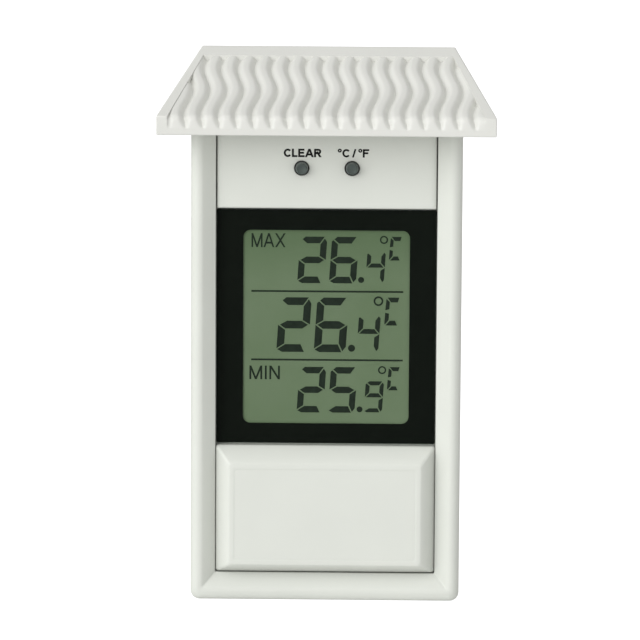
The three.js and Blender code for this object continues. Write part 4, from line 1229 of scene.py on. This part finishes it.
def rear_cover():
    """The back half: a shell with its battery bay, door recess, screw wells and openings."""

    def shrunk(by, y):
        across, up = (-BODY_HALF + by, BODY_HALF - by), (by, BODY_TOP - by)
        return at_y(rounded(across, up, BODY_CORNER - by, 8), y)

    shell_front = PARTING_Y + 0.15
    rings = [shrunk(0, shell_front)]
    for sine, cosine in quarter(8):
        rings.append(shrunk(BODY_SOFT * (1 - cosine), BACK_Y - 1.2 + 1.2 * sine))
    cover = loft("rear_cover_moulding", rings)
    inside = rounded((-BODY_HALF + WALL, BODY_HALF - WALL), (WALL, BODY_TOP - WALL), 1)
    cut(cover, slab("inside", inside, 0, BACK_Y - WALL))
    block_half = BODY_HALF - 1
    block_z = (1, DOOR_HIGH.z + 6)
    join(cover, block("block", (-block_half, block_half), (RECESS_Y - 1.5, BACK_Y - 1), block_z))
    bay_x = (-BAY_HALF - BAY_WALL, BAY_HALF + BAY_WALL)
    bay_z = (BAY_BOTTOM - BAY_WALL, BAY_TOP + BAY_WALL)
    join(cover, block("bay", bay_x, (REAR_LOW.y, RECESS_Y - 1), bay_z))
    for x, z in CASE_SCREWS:
        join(cover, rod("boss", 3.3, (x, shell_front, z), (x, BACK_Y - 1, z)))
    bay_y = (BAY_FLOOR_Y, BACK_Y + 1)
    cut(cover, block("cell", (-BAY_HALF, BAY_HALF), bay_y, (BAY_BOTTOM, BAY_TOP)))

    half = DOOR_HALF + GAP
    top = DOOR_HIGH.z + GAP
    cut(cover, block("recess", (-half, half), (RECESS_Y, BACK_Y + 1), (-1, top)))
    for side in (-1, 1):
        pin_x = (half - 0.5, DOOR_HIGH.x + GAP + 0.2)
        ends = [(side * x, DOOR_HINGE_Y, DOOR_HINGE_Z) for x in pin_x]
        cut(cover, rod("pin_hole", DOOR_PIN + 0.15, *ends, 20))
        for near, far in ((BAY_HALF, BAY_HALF + 0.8), (BAY_HALF - 0.8, BAY_HALF)):
            slot = sorted((side * near, side * far))
            cut(cover, block("tab_slot", slot, (3.7, 6.3), (BAY_TOP - 1, BAY_TOP + 3)))
    for x, z in CASE_SCREWS:
        cut(cover, rod("well", 2.5, (x, shell_front + 2.2, z), (x, BACK_Y + 1, z), 48))
        cut(cover, rod("hole", SCREW_HOLE, (x, 0, z), (x, BACK_Y, z)))
    ball = bmesh.new()
    centre = Matrix.Translation((0, BACK_Y + SCOOP_RADIUS - SCOOP_DEPTH, top))
    bmesh.ops.create_uvsphere(
        ball, u_segments=64, v_segments=48, radius=SCOOP_RADIUS, matrix=centre
    )
    vents = slots(VENT_X, VENT_BOTTOM, VENT_HEIGHT, VENT_PITCH, VENT_COUNT, 0.55, 2 * WALL)
    cut(cover, as_object("scoop", ball), keyhole(), *vents)
    settle(cover, "case_plastic", ["rear_cover"], sharp=34)


def battery_door():
    """A thin lid with a round heel on two pins, and grooves for a fingertip."""
    outline = [(BACK_Y, DOOR_HINGE_Z)]
    outline += arc(BACK_Y - DOOR_SOFT, DOOR_HIGH.z - DOOR_SOFT, DOOR_SOFT, 0, 90, 6)
    outline += [(DOOR_INNER_Y, DOOR_HIGH.z)]
    outline += arc(DOOR_HINGE_Y, DOOR_HINGE_Z, DOOR_HEEL, 180, 360, 24)[:-1]
    rings = [[(x, y, z) for y, z in outline] for x in (-DOOR_HALF, DOOR_HALF)]
    door = loft("battery_door_moulding", rings)
    soften(door, 0.18, 3, 60)
    for side in (-1, 1):
        ends = [(side * x, DOOR_HINGE_Y, DOOR_HINGE_Z) for x in (DOOR_HALF - 1, DOOR_HIGH.x)]
        join(door, rod("pin", DOOR_PIN, *ends, 24))
    cut(door, *slots(GRIP_X, GRIP_BOTTOM, GRIP_HEIGHT, GRIP_PITCH, GRIP_COUNT, 0.5, 0.6))
    settle(door, "case_plastic", ["battery_door"], "door", 40)


# ---- battery and screws -------------------------------------------------------------------


def battery():
    y, z = (CELL_LOW.y + CELL_HIGH.y) / 2, (CELL_LOW.z + CELL_HIGH.z) / 2
    radius = (CELL_HIGH.z - CELL_LOW.z) / 2
    left, right = CELL_LOW.x, CELL_HIGH.x
    profile = [
        (0.3, left), (1.7, left), (1.9, left + 0.2), (1.9, left + 0.8),
        (radius - 0.9, left + 0.8), (radius - 0.35, left + 1.0), (radius - 0.1, left + 1.2),
        (radius, left + 1.5), (radius, right - 0.5), (radius - 0.15, right - 0.2),
        (radius - 0.5, right - 0.05), (radius - 1.2, right - 0.05), (radius - 1.4, right),
        (0.3, right),
    ]
    rings = []
    for r, x in profile:
        rings.append([(x, py, pz) for py, pz in circle(y, z, r, 72)])
    cell = loft("battery_cell_jacket", rings)
    settle(cell, "cell_jacket", ["battery_cell"])

    low, high = box("battery_spring")
    turns = 3
    wire = 0.3
    steps = 40 * turns
    path = []
    for i in range(steps + 1):
        t = i / steps
        angle = t * turns * 2 * math.pi
        reach = 2.2 + 1.6 * t
        x = low.x + wire + (high.x - low.x - 2 * wire) * t
        path.append(Vector((x, y + reach * math.cos(angle), z + reach * math.sin(angle))))
    spring = tube("battery_spring_wire", path, wire)
    settle(spring, "bright_steel", ["battery_spring"])


def case_screws():
    """Cross-head screws at the bottom of the rear cover's wells."""
    for number in range(1, 5):
        node = f"case_screw_{number}"
        low, high = box(node)
        x, z = middle(node)
        head = (high.x - low.x) / 2
        top = high.y
        seat = top - 1.5
        profile = [(0.3, low.y), (0.5, low.y), (1.05, low.y + 1), (1.05, seat), (head, seat)]
        profile += [(head, seat + 0.5), (head * 0.94, seat + 0.85), (head * 0.8, top - 0.3)]
        profile += [(head * 0.55, top - 0.08), (0.1, top)]
        screw = turned(f"{node}_turned", profile, (x, z), 48)
        reach, slot = head * 0.55, 0.22
        depth = (top - 0.65, top + 1)
        for wide, tall in ((reach, slot), (slot, reach)):
            cut(screw, block("slot", (x - wide, x + wide), depth, (z - tall, z + tall)))
        settle(screw, "bright_steel", [node])


# ---- the other CAD nodes ------------------------------------------------------------------


def finish_nodes():
    """Gives every CAD node that still shows its own procedural material."""
    slots = {part["node"]: part["material_slot"] for part in frame["record"]["subparts"]}
    for name, obj in frame["nodes"].items():
        for material_slot in obj.material_slots:
            material_slot.material = FINISHES[slots[name]]


# ---- stage --------------------------------------------------------------------------------

TARGET = Vector((0, 0, 66))
CAMERA_AZIMUTH = 0.9
CAMERA_ELEVATION = 8.8
CAMERA_DISTANCE = 1100
CAMERA_ROLL = 0.33
CAMERA_LENS = 258.3
AIM_RIGHT = -1.48
AIM_UP = 1.74

ROOM_LEVEL = 0.58
ROOM_OVERHEAD = 0.56
ROOM_BELOW = 0.14
FLOOR_GLOW = 0.44
LAMP_ENERGY = 1.7
LAMP_SPREAD = 50
LAMP_AZIMUTH = 43
LAMP_ELEVATION = 22
FLOOR_REACH = 8000
FLOOR_DROP = 0.02


def direction(azimuth, elevation):
    """Where something stands, seen from the object: to the right of its front, and above it."""
    azimuth, elevation = math.radians(azimuth), math.radians(elevation)
    ahead = math.cos(elevation)
    return Vector((math.sin(azimuth) * ahead, -math.cos(azimuth) * ahead, math.sin(elevation)))


def camera():
    roll = math.radians(CAMERA_ROLL)
    towards = direction(CAMERA_AZIMUTH, CAMERA_ELEVATION)
    level = direction(CAMERA_AZIMUTH + 90, 0)
    upright = towards.cross(level)
    right = level * math.cos(roll) + upright * math.sin(roll)
    up = upright * math.cos(roll) - level * math.sin(roll)
    aim = TARGET + AIM_RIGHT * right + AIM_UP * up
    data = bpy.data.cameras.new("camera")
    data.lens = CAMERA_LENS
    data.sensor_width = 36
    data.clip_start = 0.01
    data.clip_end = 100
    obj = placed("camera", data)
    turn = Matrix((right, up, towards)).transposed().to_4x4()
    obj.matrix_world = Matrix.Translation((aim + towards * CAMERA_DISTANCE) * MM) @ turn
    bpy.context.scene.camera = obj


def studio():
    """A white room, dim below its horizon, with one large soft lamp at the left."""
    world = bpy.data.worlds.new("studio")
    bpy.context.scene.world = world
    room = Nodes(world, "ShaderNodeOutputWorld")
    seen = room.node("ShaderNodeLightPath").outputs["Is Camera Ray"]
    point = room.node("ShaderNodeTexCoord").outputs["Generated"]
    height = room.node("ShaderNodeSeparateXYZ", Vector=point).outputs["Z"]
    above = room.between(height, ROOM_LEVEL, ROOM_OVERHEAD, 0, 0.9)
    level = room.times(above, room.between(height, ROOM_BELOW, 1, -0.05, 0))
    walls = room.node("ShaderNodeBackground", Color=(1, 1, 1, 1), Strength=level)
    backdrop = room.node("ShaderNodeBackground", Color=(1, 1, 1, 1))
    room.end_with("ShaderNodeMixShader", seen, walls.outputs[0], backdrop.outputs[0])

    lamp = bpy.data.lights.new("soft_lamp", "SUN")
    lamp.energy = LAMP_ENERGY
    lamp.angle = math.radians(LAMP_SPREAD)
    turn = direction(-LAMP_AZIMUTH, LAMP_ELEVATION).to_track_quat("Z", "Y")
    placed("soft_lamp", lamp).matrix_world = turn.to_matrix().to_4x4()

    f = Finish("white_floor")
    seen = f.node("ShaderNodeLightPath").outputs["Is Camera Ray"]
    matt = f.node("ShaderNodeBsdfDiffuse", Color=(0.35, 0.35, 0.35, 1))
    level = f.between(seen, FLOOR_GLOW, 1, 0, 1)
    glow = f.node("ShaderNodeEmission", Color=(1, 1, 1, 1), Strength=level)
    f.end_with("ShaderNodeAddShader", matt.outputs[0], glow.outputs[0])
    signs = ((-1, -1), (1, -1), (1, 1), (-1, 1))
    corners = [Vector((x * FLOOR_REACH, y * FLOOR_REACH, -FLOOR_DROP)) * MM for x, y in signs]
    floor = shape("floor", corners, [(0, 1, 2, 3)])
    floor.data.materials.append(f.material)
    floor.visible_glossy = False
    bpy.context.scene.view_settings.view_transform = "Standard"


finish_nodes()
roof_canopy()
front_frame()
key_plate()
lower_panel()
display()
readings()
key_labels()
key("clear_key", "clear_button")
key("unit_key", "unit_button")
rear_cover()
battery_door()
battery()
case_screws()
camera()
studio()
